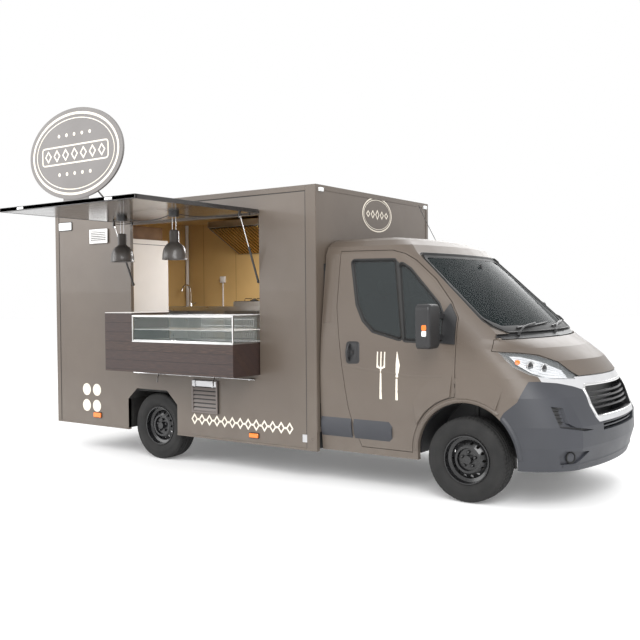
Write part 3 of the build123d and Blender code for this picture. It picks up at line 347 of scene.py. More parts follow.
# Mesh helpers
def made(name, bm, look, body="truck", smooth=35, level=0):
    """Turns a bmesh into a piece that rides on a body and has a look and a material slot."""
    bmesh.ops.remove_doubles(bm, verts=bm.verts, dist=1e-6)
    bmesh.ops.recalc_face_normals(bm, faces=bm.faces)
    mesh = bpy.data.meshes.new(name)
    bm.to_mesh(mesh)
    bm.free()
    piece = bpy.data.objects.new(name, mesh)
    bpy.context.scene.collection.objects.link(piece)
    mesh.materials.append(looks[look])
    for face in mesh.polygons:
        face.use_smooth = True
    mesh.set_sharp_from_angle(angle=math.radians(smooth))
    if level:
        divide = piece.modifiers.new("subdivision", "SUBSURF")
        divide.levels = divide.render_levels = level
    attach(piece, body)
    return piece


def join(bm, rows, closed=True):
    """Faces between neighbouring rows of vertices."""
    for a, b in zip(rows, rows[1:]):
        for i in range(len(a) if closed else len(a) - 1):
            j = (i + 1) % len(a)
            bm.faces.new((a[i], a[j], b[j], b[i]))


def slab(bm, first, second, bevel=0.004, segments=2):
    """A block with rounded edges between two opposite corners."""
    corners = bmesh.ops.create_cube(bm, size=1)["verts"]
    low, high = at(*map(min, first, second)), at(*map(max, first, second))
    for v in corners:
        v.co = [a + (c + 0.5) * (b - a) for a, b, c in zip(low, high, v.co)]
    if bevel:
        edges = list({e for v in corners for e in v.link_edges})
        bmesh.ops.bevel(bm, geom=edges, offset=bevel, segments=segments, affect="EDGES", profile=0.5)


def circle(side, other, count):
    """The directions round a circle."""
    turns = [2 * math.pi * i / count for i in range(count)]
    return [side * math.cos(a) + other * math.sin(a) for a in turns]


def lathe(bm, profile, centre, axis, around=48):
    """Turns (distance along the axis, radius) pairs about an axis through centre."""
    axis = Vector(axis).normalized()
    side = axis.orthogonal().normalized()
    rays = circle(side, axis.cross(side), around)
    rows = [[bm.verts.new(centre + axis * along + ray * max(radius, 1e-5)) for ray in rays]
            for along, radius in profile]
    join(bm, rows)
    bm.faces.new(rows[0])
    bm.faces.new(rows[-1])


def tube(bm, points, radius, around=10):
    """A round bar along points, which are vectors or triples in the truck's measures."""
    points = [p if isinstance(p, Vector) else at(*p) for p in points]
    rows = []
    for i, point in enumerate(points):
        ahead = (points[min(i + 1, len(points) - 1)] - points[max(i - 1, 0)]).normalized()
        side = ahead.orthogonal() if i == 0 else side - ahead * side.dot(ahead)
        side.normalize()
        rows.append([bm.verts.new(point + ray * radius) for ray in circle(side, ahead.cross(side), around)])
    join(bm, rows)
    bm.faces.new(rows[0])
    bm.faces.new(rows[-1])


def smooth_line(points, per=8):
    """Points along a Catmull-Rom curve through the given ones."""
    points = [p if isinstance(p, Vector) else at(*p) for p in points]
    full = [points[0] * 2 - points[1], *points, points[-1] * 2 - points[-2]]
    line = []
    for a, b, c, d in zip(full, full[1:], full[2:], full[3:]):
        for t in [i / per for i in range(per)]:
            line.append(0.5 * (2 * b + (c - a) * t + (2 * a - 5 * b + 4 * c - d) * t ** 2
                               + (3 * b - a - 3 * c + d) * t ** 3))
    return [*line, points[-1]]


trees = {}


def surface(names, origin, direction):
    """Where a ray first meets one of these CAD nodes, and the normal there."""
    best = None
    for name in names:
        if name not in trees:
            mesh = nodes[name].data
            trees[name] = BVHTree.FromPolygons([v.co for v in mesh.vertices],
                                               [p.vertices for p in mesh.polygons])
        place, normal, _, distance = trees[name].ray_cast(origin, direction)
        if place is not None and (best is None or distance < best[2]):
            best = (place, normal, distance)
    return best


outer_cab = ["cab_body", "wings", "door_right", "door_left", "bonnet", "bumper", "grille", "headlamps",
             "cowl"]


def laid(names, origin, direction, lift):
    """The spot where a ray meets these nodes, lifted off along the surface's normal. A ray that misses is
    moved a little, and then tried on the rest of the cab."""
    sideways = direction.cross(up)
    for nudge in (0.0, 0.008, -0.008, 0.02, -0.02):
        for shift in (sideways * nudge, up * nudge):
            for group in (names, outer_cab):
                hit = surface(group, origin + shift, direction)
                if hit:
                    normal = hit[1] if hit[1].dot(direction) < 0 else -hit[1]
                    return hit[0] - shift + normal * lift
    raise ValueError(f"nothing to lay on at {tuple(origin)}")


# Places for flat outlines: each takes two coordinates and a height above the surface
def flank(side, *names):
    return lambda x, z, lift: laid(names, at(x, side * 3, z), Vector((0, -side, 0)), lift)


def nose(*names):
    return lambda y, z, lift: laid(names, at(3, y, z), Vector((-1, 0, 0)), lift)


def side_wall(side):
    return lambda x, z, lift: at(x, side * (box_half + lift), z)


def end_wall(x, outward):
    return lambda y, z, lift: at(x + outward * lift, y, z)


def level_top(z):
    return lambda x, y, lift: at(x, y, z + lift)


def rounded(points, radius, steps=5):
    """An outline with its corners rounded."""
    line = []
    for i, point in enumerate(points):
        corner = Vector(point)
        back = Vector(points[i - 1]) - corner
        ahead = Vector(points[(i + 1) % len(points)]) - corner
        cut = min(radius / math.tan(back.angle(ahead) / 2), 0.45 * back.length, 0.45 * ahead.length)
        first, last = corner + back.normalized() * cut, corner + ahead.normalized() * cut
        for t in [k / steps for k in range(steps + 1)]:
            line.append(first * (1 - t) ** 2 + corner * 2 * t * (1 - t) + last * t ** 2)
    return line


def grown(points, amount):
    """An outline moved outward by amount."""
    points = [Vector(p) for p in points]
    area = sum(a.x * b.y - b.x * a.y for a, b in zip(points, points[1:] + points[:1]))
    turn_sign = 1 if area > 0 else -1
    result = []
    for i, point in enumerate(points):
        first = (point - points[i - 1]).normalized()
        second = (points[(i + 1) % len(points)] - point).normalized()
        if first.length < 0.5:
            first = second
        if second.length < 0.5:
            second = first
        normal = Vector((first.y, -first.x)) * turn_sign
        joint = (normal + Vector((second.y, -second.x)) * turn_sign).normalized()
        result.append(point + joint * amount / max(0.4, joint.dot(normal)))
    return result


def oval(x, z, half_x, half_z, count=64):
    turns = [2 * math.pi * i / count for i in range(count)]
    return [(x + half_x * math.cos(a), z + half_z * math.sin(a)) for a in turns]


def lozenge(x, z, half_x, half_z):
    return [(x - half_x, z), (x, z - half_z), (x + half_x, z), (x, z + half_z)]


def rectangle(x0, z0, x1, z1, radius=0.01):
    return rounded([(x0, z0), (x1, z0), (x1, z1), (x0, z1)], radius, 4)


def strip(bm, first, second, place, thick, lift=-0.001, step=0.05, across=4, edge=0.3, closed=False,
          fade=False):
    """A thin closed sheet laid between two lines of points, with softly rounded long edges. A fading one is
    as thick as it says at its first line and runs out at its second."""
    pairs = [(Vector(p), Vector(q)) for p, q in zip(first, second)]
    if closed:
        pairs.append(pairs[0])
    line = []
    for (a, b), (c, d) in zip(pairs, pairs[1:]):
        pieces = max(1, math.ceil(max((c - a).length, (d - b).length) / step))
        line += [(a.lerp(c, k / pieces), b.lerp(d, k / pieces)) for k in range(pieces)]
    if not closed:
        line.append(pairs[-1])
    grids = []
    for top in (0, 1):
        rows = []
        for t in [j / across for j in range(across + 1)]:
            swell = math.sin(min(1.0, min(t, 1 - t) / edge) * math.pi / 2)
            if fade:
                swell = math.cos(t * math.pi / 2) ** 2
            rows.append([bm.verts.new(place(*a.lerp(b, t), lift + top * thick * swell)) for a, b in line])
        join(bm, rows, closed)
        grids.append(rows)
    low, high = grids
    if fade:
        join(bm, [low[0], high[0]], False)
    if not closed:
        for i in (0, -1):
            join(bm, [[row[i] for row in low], [row[i] for row in high]], False)


def plate(bm, outline, place, thick, lift=0.0, bevel=0.0):
    """A flat piece of an outline's shape, with a bevelled edge."""
    layers = [(outline, lift), (outline, lift + thick - bevel)]
    if bevel:
        layers.append((grown(outline, -bevel), lift + thick))
    rows = [[bm.verts.new(place(a, b, height)) for a, b in points] for points, height in layers]
    join(bm, rows)
    bm.faces.new(rows[0])
    bm.faces.new(rows[-1])


def ring(bm, outline, wide, place, thick, lift=0.0):
    """A flat band inside an outline."""
    inside = grown(outline, -wide)
    layers = ((outline, lift), (outline, lift + thick), (inside, lift + thick), (inside, lift))
    rows = [[bm.verts.new(place(a, b, height)) for a, b in points] for points, height in layers]
    join(bm, rows + rows[:1])


# Tyres with a road tread, and wheel bolts
blocks = 60


def tread_depth(angle, across):
    """How far the tread is cut in at a place: four round grooves and slanted sipes between them."""
    groove = 0.0
    for line in (-0.055, -0.02, 0.02, 0.055):
        if abs(across - line) < 0.005:
            groove = 0.007
    slant = (angle * blocks / (2 * math.pi) + across * 9) % 1.0
    if slant < 0.16 and abs(across) > 0.024:
        groove = max(groove, 0.005)
    return groove


def tyre(name, body):
    centre = middle(name)
    low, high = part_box(name)
    half, outer = (high.y - low.y) / 2, (high.z - low.z) / 2
    bead, around, crown_steps = 0.1985, 360, 40
    wall = [(-half * 0.74, bead), (-half * 0.86, bead + 0.014), (-half * 0.95, bead + 0.032),
            (-half, bead + 0.06), (-half * 0.995, bead + 0.075), (-half * 0.985, bead + 0.077),
            (-half * 0.96, outer - 0.034), (-half * 0.92, outer - 0.018), (-half * 0.84, outer - 0.009)]
    crown = [half * (-0.78 + 1.56 * i / crown_steps) for i in range(crown_steps + 1)]
    profile = [*wall, *[(a, outer - 0.004 * (a / half) ** 2 / 0.6) for a in crown],
               *[(-a, r) for a, r in wall[::-1]]]
    bm = bmesh.new()
    rows = []
    for i in range(around):
        angle = 2 * math.pi * i / around
        row = []
        for a, r in profile:
            cut = tread_depth(angle, a) if abs(a) < half * 0.8 else 0.0
            shoulder = half * 0.8 <= abs(a) < half * 0.95 and r > outer - 0.036
            if shoulder and (angle * blocks / (2 * math.pi)) % 1 < 0.3:
                cut = 0.0035
            spot = Vector(((r - cut) * math.sin(angle), a, (r - cut) * math.cos(angle)))
            row.append(bm.verts.new(centre + spot))
        rows.append(row)
    join(bm, rows + rows[:1])
    piece = made(f"{name}_treaded", bm, "tyre", body, smooth=28)
    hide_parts(name)


bolt = [(-0.004, 0.0125), (0.002, 0.0145), (0.010, 0.0125), (0.019, 0.0115), (0.022, 0.008)]
bolt_circle, bolts, bolt_inset = 0.059, 5, 0.048
for end in ("front", "rear"):
    for side, name in sides:
        wheel, rim = f"wheel_{end}_{name}", f"rim_{end}_{name}"
        tyre(f"tyre_{end}_{name}", wheel)
        centre = middle(rim)
        centre.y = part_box(rim)[0 if side < 0 else 1].y - side * bolt_inset
        bm = bmesh.new()
        for ray in circle(up, Vector((1, 0, 0)), bolts):
            lathe(bm, bolt, centre + ray * bolt_circle, (0, side, 0), 12)
        made(f"wheel_bolts_{end}_{name}", bm, "rim_black", wheel)


# Kitchen box: frame profiles, lamps, plates and a plain pattern
post, rail, rear_post, sill, seam = 0.110, 0.050, 0.060, 0.022, 0.006
arch_rear, arch_front = rear_axle - 0.391, rear_axle + 0.320
film = 0.0012


def box_trim():
    rear, front = box_rear + rear_post, box_front - post
    top, bottom = box_top - rail, box_bottom + sill
    profiles = ((box_rear, box_bottom, rear, box_top), (rear, top, front, box_top),
                (front, box_bottom, box_front, box_top), (rear, box_bottom, arch_rear, bottom),
                (arch_front, box_bottom, front, bottom))
    seams = ((rear, bottom, rear + seam, top), (rear, top - seam, front, top),
             (front - seam, bottom, front, top))
    for side, name in sides:
        bm = bmesh.new()
        for corners in profiles:
            plate(bm, rectangle(*corners, 0.004), side_wall(side), 0.005, bevel=0.003)
        made(f"box_profiles_{name}", bm, "body_paint")
        bm = bmesh.new()
        for corners in seams:
            plate(bm, rectangle(*corners, 0.001), side_wall(side), film)
        made(f"box_seams_{name}", bm, "rubber")
    bm = bmesh.new()
    base = box_bottom + 0.17
    outline = [(-box_half, base), (box_half, base), (box_half, box_top), (-box_half, box_top)]
    ring(bm, outline, 0.045, end_wall(box_front, 1), 0.004)
    made("box_front_profiles", bm, "body_paint")


def markers():
    lamps = {
        # x from the box's rear, bottom, length and height
        "white_lens": [(0.079, 2.416, 0.204, 0.083)],
        "amber": [(0.614, 0.371, 0.116, 0.052), (2.807, 0.342, 0.107, 0.042)],
    }
    rim = 0.006
    for look, rows in lamps.items():
        bm, bases = bmesh.new(), bmesh.new()
        for x, z, long, high in rows:
            for side in (right, left):
                x0, x1, z1 = box_rear + x, box_rear + x + long, z + high
                base = rectangle(x0 - rim, z - rim, x1 + rim, z1 + rim, 0.012)
                plate(bases, base, side_wall(side), 0.006)
                plate(bm, rectangle(x0, z, x1, z1, 0.010), side_wall(side), 0.016, 0.004, bevel=0.005)
        made(f"side_markers_{look}", bm, look)
        made(f"side_marker_bases_{look}", bases, "rubber")
    bm = bmesh.new()
    for side in (right, left):
        for place in (end_wall(box_front, 1), end_wall(box_rear, -1)):
            y = side * (box_half - 0.075)
            outline = rectangle(y - 0.035, box_top - 0.06, y + 0.035, box_top - 0.025, 0.008)
            plate(bm, outline, place, 0.018, bevel=0.005)
    made("corner_markers", bm, "white_lens")


def box_pattern():
    """Plain discs, lozenges and dots in cream, where the truck has its lettering."""
    bm = bmesh.new()
    place = side_wall(right)
    for x, z in ((0.494, 0.667), (0.659, 0.668), (0.491, 0.493), (0.655, 0.494)):
        plate(bm, oval(box_rear + x, z, 0.065, 0.065, 40), place, film)
    first, pitch, count, row_z = box_rear + 2.10, 0.098, 13, 0.462
    for i in range(count):
        ring(bm, lozenge(first + i * pitch, row_z, 0.042, 0.056), 0.014, place, film)
    for i in range(count - 1):
        plate(bm, oval(first + (i + 0.5) * pitch, row_z, 0.011, 0.011, 20), place, film)
    made("side_pattern", bm, "cream")
    bm = bmesh.new()
    place, mark_z = end_wall(box_front, 1), 2.455
    ring(bm, oval(0, mark_z, 0.275, 0.170), 0.012, place, film)
    ring(bm, oval(0, mark_z, 0.250, 0.146), 0.005, place, film)
    for i in range(-2, 3):
        ring(bm, lozenge(i * 0.085, mark_z, 0.036, 0.050 - 0.008 * abs(i)), 0.010, place, film)
    made("front_pattern", bm, "cream")
    bm = bmesh.new()
    place = side_wall(right)
    plate(bm, rectangle(box_front - 0.160, 0.352, box_front - 0.037, 0.422, 0.006), place, 0.003, bevel=0.001)
    for x in (box_front - 0.150, box_front - 0.047):
        lathe(bm, [(0.002, 0.005), (0.005, 0.004)], place(x, 0.387, 0), (0, -1, 0), 12)
    made("blank_plate", bm, "silver")


def rear_fittings():
    low, high = span("rear_door")
    door_wide, gap = 0.750, 0.022
    place = end_wall(box_rear, -1)
    bm = bmesh.new()
    outline = rectangle(low.y - gap, low.z - gap, low.y + door_wide + gap, high.z + gap, 0.02)
    ring(bm, outline, 0.015, place, 0.004)
    made("rear_door_seal", bm, "rubber")
    bm = bmesh.new()
    y = low.y + 0.075
    plate(bm, rectangle(y - 0.035, 1.40, y + 0.035, 1.62, 0.02), place, 0.010, bevel=0.004)
    grip = [place(y, z, lift) for z, lift in ((1.43, 0.008), (1.45, 0.05), (1.51, 0.055), (1.57, 0.05),
                                              (1.59, 0.008))]
    tube(bm, smooth_line(grip, 6), 0.009, 12)
    made("rear_door_handle", bm, "black_plastic", "rear_door")
    bm = bmesh.new()
    y = -0.62
    plate(bm, rectangle(y - 0.265, 0.80, y + 0.265, 0.915, 0.01), place, 0.008, bevel=0.002)
    made("plate_holder", bm, "black_plastic")
    bm = bmesh.new()
    plate(bm, rectangle(y - 0.258, 0.807, y + 0.258, 0.908, 0.008), place, 0.003, 0.008, bevel=0.001)
    made("blank_rear_plate", bm, "white_panel")
    bm = bmesh.new()
    low, high = span("rear_step")
    for x in [low.x + 0.03 * (i + 1) for i in range(9)]:
        slab(bm, (x, low.y + 0.05, 0.449), (x + 0.012, high.y - 0.05, 0.454), 0.002, 1)
    made("step_ribs", bm, "black_plastic")


def arch_liners():
    """Dark folded sheets that close the rear wheel arches."""
    ceiling, bottom = floor_low.z - 0.004, 0.30
    line = [(arch_rear, bottom), (arch_rear, 0.602), (rear_axle - 0.275, ceiling),
            (rear_axle + 0.195, ceiling), (arch_front, 0.584), (arch_front, bottom)]
    for side, name in sides:
        bm = bmesh.new()
        outer, inner = side * (box_half - 0.002), side * 0.640
        low_out, low_in, high_out, high_in = [[bm.verts.new(at(x, y, z)) for x, z in points]
                                              for points in (line, grown(line, 0.004))
                                              for y in (outer, inner)]
        for rows in ((low_out, low_in), (high_out, high_in), (low_out, high_out), (low_in, high_in)):
            join(bm, rows, False)
        for i in (0, -1):
            bm.faces.new((low_out[i], low_in[i], high_in[i], high_out[i]))
        plate(bm, line, lambda x, z, lift: at(x, inner - side * lift, z), 0.004)
        made(f"arch_liner_{name}", bm, "chassis_black", smooth=20)


def cab_seal():
    """The rubber bellows between the cab's rear and the box, with aprons below it and behind the sills."""
    rear, front, half = box_front - 0.001, span("cab_body")[0].x + 0.002, 0.900
    bm = bmesh.new()
    for side in (right, left):
        outer, inner = side * (half + 0.030), side * half
        slab(bm, (rear, outer, 0.34), (front, inner, 1.95), 0, 1)
        slab(bm, (box_front - 0.016, side * 1.006, 0.30), (box_front - 0.006, side * 0.600, 0.704), 0, 1)
        slab(bm, (-1.180, outer, 0.330), (-0.480, inner, 0.585), 0, 1)
    slab(bm, (rear, -half, 1.93), (front, half, 1.96), 0, 1)
    made("cab_seal", bm, "rubber")


def vent_flap():
    """The lower vent's bright flap with its two hinges."""
    x0, hinge = box_rear + 2.082, 0.008
    bm = bmesh.new()
    flap = rectangle(x0 + 0.012, 0.790, x0 + 0.324, 0.846, 0.006)
    plate(bm, flap, side_wall(right), 0.006, 0.021, bevel=0.002)
    for x in (x0 + 0.05, x0 + 0.285):
        slab(bm, (x - hinge, -box_half - 0.036, 0.785), (x + hinge, -box_half - 0.02, 0.852), 0.003)
    made("vent_flap", bm, "silver")


# Cab: window frames, handles, mouldings and lips, laid on its panels
door_window = [(-1.118, 1.966), (-1.040, 1.585), (-0.968, 1.450), (-0.868, 1.360), (-0.585, 1.290),
               (-0.695, 1.960)]
door_quarter = [(-0.655, 1.944), (-0.562, 1.286), (-0.222, 1.282), (-0.222, 1.492), (-0.270, 1.586),
                (-0.550, 1.878)]


def gasket(bm, outline, wide, place, thick):
    """A rubber wedge that fills the step between a panel's edge and its pane."""
    outer, inner = grown(outline, -0.0005), grown(outline, -wide)
    strip(bm, outer + outer[:1], inner + inner[:1], place, thick, fade=True)


def arch_line(radius, start, end, count):
    """Points round the front wheel arch's centre, from start to end degrees: 0 is ahead and 90 is up."""
    turns = [math.radians(start + (end - start) * i / count) for i in range(count + 1)]
    return [(radius * math.cos(a), 0.370 + radius * math.sin(a)) for a in turns]


def cab_sides():
    for side, name in sides:
        door = f"door_{name}"
        on_door, on_cab = flank(side, door), flank(side, "cab_body", "wings")
        bm = bmesh.new()
        for outline in (door_window, door_quarter):
            edge = rounded(outline, 0.025)
            strip(bm, grown(edge, -0.0005), grown(edge, 0.020), on_door, 0.005, across=3, closed=True,
                  edge=0.4)
            gasket(bm, edge, 0.014, flank(side, f"door_glass_{name}"), 0.0185)
        strip(bm, [(-0.690, 1.952), (-0.582, 1.289)], [(-0.660, 1.946), (-0.566, 1.288)], on_door, 0.006,
              across=3)
        made(f"window_frames_{name}", bm, "rubber", door)

        bm = bmesh.new()
        base = rounded([(-1.124, 1.069), (-0.985, 1.074), (-0.992, 1.270), (-1.132, 1.267)], 0.035)
        strip(bm, base, [(-1.058, 1.17)] * len(base), on_door, 0.010, across=6, closed=True, step=0.2)
        grip_low, grip_high = 1.095, 0.15
        grip = [on_door(-1.095, grip_low + grip_high * t, 0.012 + 0.026 * math.sin(math.pi * t))
                for t in [i / 10 for i in range(11)]]
        tube(bm, grip, 0.013, 12)
        made(f"door_handle_{name}", bm, "black_plastic", door)

        bm = bmesh.new()
        strip(bm, [(-1.043, 0.425), (-0.700, 0.425), (-0.668, 0.455)],
              [(-1.052, 0.598), (-0.700, 0.598), (-0.668, 0.560)], on_door, 0.016)
        made(f"door_moulding_{name}", bm, "dark_plastic", door)
        bm = bmesh.new()
        strip(bm, [(-1.390, 0.425), (-1.066, 0.425)], [(-1.390, 0.598), (-1.078, 0.598)], on_cab, 0.016)
        made(f"cab_moulding_{name}", bm, "dark_plastic")

        bm = bmesh.new()
        crease = [(-1.165, 1.062), (-0.822, 1.022), (-0.459, 0.991), (-0.200, 1.004)]
        strip(bm, [(x, z - 0.020) for x, z in crease], [(x, z + 0.012) for x, z in crease], on_door, 0.003,
              edge=0.5)
        flare = [(-0.470, 0.800), (-0.400, 0.920), (-0.300, 1.010), (-0.110, 1.085)]
        strip(bm, arch_line(0.490, 152, 105, 3), flare, on_door, 0.014, fade=True)
        made(f"door_crease_{name}", bm, "body_paint", door)
        bm = bmesh.new()
        strip(bm, [(-1.385, 1.425), (-1.385, 2.000)], [(-1.295, 1.430), (-1.295, 1.990)], on_cab, 0.005,
              edge=0.25)
        strip(bm, arch_line(0.433, 52, 178, 30), arch_line(0.470, 52, 178, 30), on_cab, 0.014, edge=0.45)
        flare = [(-0.080, 1.098), (0.060, 1.100), (0.170, 1.075), (0.270, 1.025), (0.330, 0.960)]
        strip(bm, arch_line(0.468, 98, 56, 4), flare, on_cab, 0.013, fade=True)
        made(f"cab_presses_{name}", bm, "body_paint")
        bm = bmesh.new()
        strip(bm, arch_line(0.435, 2, 46, 14), arch_line(0.475, 2, 46, 14), flank(side, "bumper"), 0.014,
              edge=0.45)
        made(f"bumper_lip_{name}", bm, "dark_plastic")


def bar(x, low, high):
    """The two edges of an upright bar, from its half width and height at each end."""
    (a, z0), (b, z1) = low, high
    return [(x - a, z0), (x - b, z1)], [(x + a, z0), (x + b, z1)]


def door_pattern():
    """A plain fork and knife on the right door."""
    fork, knife, thick = -0.775, -0.620, 0.0048
    bow = ([(-0.042, 1.075), (-0.030, 1.045), (0, 1.035), (0.030, 1.045), (0.042, 1.075)],
           [(-0.028, 1.080), (-0.020, 1.062), (0, 1.055), (0.020, 1.062), (0.028, 1.080)])
    blade = ([(-0.012, 0.975), (-0.014, 1.080), (-0.004, 1.188)],
             [(0.014, 0.975), (0.032, 1.080), (0.002, 1.190)])
    prongs = [bar(x, (0.009, 1.050), (0.007, 1.185)) for x in (fork - 0.035, fork, fork + 0.035)]
    bm = bmesh.new()
    handles = bar(fork, (0.015, 0.785), (0.008, 1.040)), bar(knife, (0.015, 0.785), (0.011, 0.965))
    for first, second in (*handles, [[(fork + x, z) for x, z in line] for line in bow], *prongs):
        strip(bm, first, second, flank(right, "door_right"), thick, across=2)
    first, second = [[(knife + x, z) for x, z in line] for line in blade]
    strip(bm, first, second, flank(right, "door_right"), thick, across=3)
    made("door_pattern", bm, "cream", "door_right")


screen_foot = 1.345
screen_edge = [(-0.862, 1.420), (-0.735, screen_foot), (0.735, screen_foot), (0.862, 1.420), (0.776, 2.014),
               (-0.776, 2.014)]


def screen_trim():
    on_screen, on_cowl = nose("windscreen"), nose("cowl", "cab_body")
    edge = rounded(screen_edge, 0.06)
    bm = bmesh.new()
    outer = grown(edge, -0.006)
    inner = [(p.x * 0.955, screen_foot + 0.055 + (p.y - screen_foot) * 0.875) for p in outer]
    strip(bm, outer, inner, on_screen, 0.003, lift=0.0005, closed=True)
    gasket(bm, edge, 0.020, on_screen, 0.0165)
    made("screen_band", bm, "rubber")
    bm = bmesh.new()
    edge = grown(edge, 0.001)
    strip(bm, edge, grown(edge, 0.014), on_cowl, 0.004, across=2, closed=True)
    made("screen_rubber", bm, "rubber")

    bm = bmesh.new()
    for pivot, tip in ((-0.60, 0.02), (0.06, 0.66)):
        foot_z = 1.333
        lathe(bm, [(0, 0.020), (0.022, 0.017), (0.030, 0.008)], on_cowl(pivot, foot_z, 0.0), (0.3, 0, 1), 16)
        arm = [on_cowl(pivot, foot_z, 0.024), on_screen(pivot + 0.12, 1.372, 0.034),
               on_screen((pivot + tip) / 2 + 0.05, 1.400, 0.026)]
        tube(bm, smooth_line(arm), 0.007, 10)
        blade = [on_screen(pivot + 0.04 + (tip - pivot) * t, 1.378 + 0.03 * t, 0.011)
                 for t in [i / 10 for i in range(11)]]
        tube(bm, blade, 0.008, 8)
    made("wipers", bm, "black_plastic")


def bumper_trim():
    on_front = nose("bumper")
    bm, rings, plugs = bmesh.new(), bmesh.new(), bmesh.new()
    for side in (right, left):
        shapes = [([(0.817, 0.788), (0.824, 0.664)], [(0.873, 0.790), (0.864, 0.650)], 0.002, 4, 0.02),
                  ([(0.62, 0.611), (0.845, 0.652)], [(0.69, 0.609), (0.862, 0.642)], 0.002, 4, 0.02)]
        for z in (0.680, 0.708, 0.736, 0.764):
            shapes.append(([(0.822, z - 0.004), (0.866, z - 0.004)], [(0.822, z + 0.004), (0.866, z + 0.004)],
                           0.014, 3, 0.01))
        for first, second, thick, across, step in shapes:
            first, second = [[(side * y, z) for y, z in line] for line in (first, second)]
            strip(bm, first, second, on_front, thick, across=across, step=step)
        spot, aim = on_front(side * 0.775, 0.408, 0.002), (0.86, side * 0.5, 0)
        lathe(rings, [(0, 0.044), (0.014, 0.044), (0.016, 0.038), (0.004, 0.034), (0, 0.02)], spot, aim, 32)
        lathe(plugs, [(0.006, 0.036), (0.010, 0.034), (0.013, 0.022), (0.014, 0.006)], spot, aim, 32)
    made("bumper_slats", bm, "black_plastic")
    made("fog_plug_rings", rings, "rubber")
    made("fog_plugs", plugs, "dark_plastic")
    bm = bmesh.new()
    lip = [(-0.830, 0.344), (-0.560, 0.352), (0.0, 0.356), (0.560, 0.352), (0.830, 0.344)]
    strip(bm, [(y, z - 0.014) for y, z in lip], [(y, z + 0.010) for y, z in lip], on_front, 0.006, edge=0.5)
    made("bumper_crease", bm, "dark_plastic")


def grille_trim():
    on_grille = nose("grille")
    bm = bmesh.new()
    boss = [(0, 0.058), (0.010, 0.058), (0.016, 0.052), (0.014, 0.046), (0.017, 0.03), (0.018, 0.002)]
    lathe(bm, boss, on_grille(0, 0.885, 0.0), (1, 0, 0.1), 40)
    made("grille_boss", bm, "chrome")
    bm = bmesh.new()
    edge = rounded([(-0.466, 0.706), (0.466, 0.706), (0.497, 0.795), (0.497, 0.905), (0.470, 0.930),
                    (-0.470, 0.930), (-0.497, 0.905), (-0.497, 0.795)], 0.02)
    strip(bm, grown(edge, 0.001), grown(edge, 0.022), on_grille, 0.007, closed=True)
    made("grille_surround", bm, "chrome")


def headlamp_insides():
    """Inside each headlamp: bright bands, two lights in rings and an amber corner."""
    on_lamp, bands = nose("headlamps"), 5
    lights, rings, amber, housing = [bmesh.new() for _ in range(4)]
    lamp_low = [(0.900, 1.114), (0.860, 1.056), (0.765, 1.014), (0.600, 1.004)]
    lamp_high = [(0.900, 1.186), (0.830, 1.184), (0.720, 1.146), (0.600, 1.068)]
    for side in (right, left):
        low_line, high_line = [[Vector((side * y, z)) for y, z in line] for line in (lamp_low, lamp_high)]
        for i in range(bands):
            first, second = [[a.lerp(b, share) for a, b in zip(low_line, high_line)]
                             for share in (i / bands, (i + 0.92) / bands)]
            strip(housing, first, second, on_lamp, 0.006, lift=-0.016, step=0.03, edge=0.5)
        aim = (0.93, side * 0.36, 0)
        for y, z, r in ((0.830, 1.100, 0.044), (0.735, 1.078, 0.042)):
            spot = on_lamp(side * y, z, -0.004)
            lathe(rings, [(-0.002, r), (0.004, r), (0.004, r * 0.84), (-0.001, r * 0.72)], spot, aim, 32)
            light = [(-0.001, r * 0.7), (0.003, r * 0.6), (0.006, r * 0.3), (0.007, 0.001)]
            lathe(lights, light, spot, aim, 24)
        lathe(amber, [(-0.004, 0.022), (0.003, 0.018), (0.005, 0.004)], on_lamp(side * 0.893, 1.130, -0.004),
              (0.6, side * 0.8, 0), 16)
    made("headlamp_housings", housing, "lamp_chrome")
    made("headlamp_lights", lights, "hob_black")
    made("headlamp_rings", rings, "chrome")
    made("headlamp_amber", amber, "amber")


def cab_extras():
    bm = bmesh.new()
    base = surface(["cab_body"], at(-0.919, 0.289, 3.150), down)[0]
    lathe(bm, [(0, 0.024), (0.012, 0.021), (0.026, 0.010), (0.030, 0.004)], base, up, 20)
    tube(bm, [base + Vector(step) for step in ((0, 0, 0.02), (-0.10, 0, 0.20), (-0.19, 0, 0.38))], 0.003, 8)
    made("antenna", bm, "black_plastic")
    bm = bmesh.new()
    slab(bm, (-0.335, -0.12, 1.83), (-0.315, 0.12, 1.90), 0.008)
    tube(bm, [(-0.31, 0, 1.88), (-0.32, 0, 1.935)], 0.01, 10)
    made("inside_mirror", bm, "black_plastic")


def mirrors():
    for side, name in sides:
        low, high = span(f"mirror_{name}")
        outer = low.y if side < 0 else high.y
        y0, y1 = sorted((outer - side * 0.022, outer - side * 0.178))
        bm = bmesh.new()
        for z0, z1 in ((1.362, 1.565), (1.258, 1.345)):
            plate(bm, rectangle(y0, z0, y1, z1, 0.03), end_wall(-0.290, -1), 0.003, bevel=0.001)
        made(f"mirror_glass_{name}", bm, "mirror_glass", f"door_{name}")
        for kind, look, z0, z1 in (("lamp", "amber", 1.382, 1.425), ("lens", "white_lens", 1.335, 1.379)):
            bm = bmesh.new()
            plate(bm, rectangle(-0.238, z0, -0.196, z1, 0.010),
                  lambda x, z, lift: at(x, outer + side * (lift - 0.010), z), 0.014, bevel=0.004)
            made(f"mirror_{kind}_{name}", bm, look, f"door_{name}")


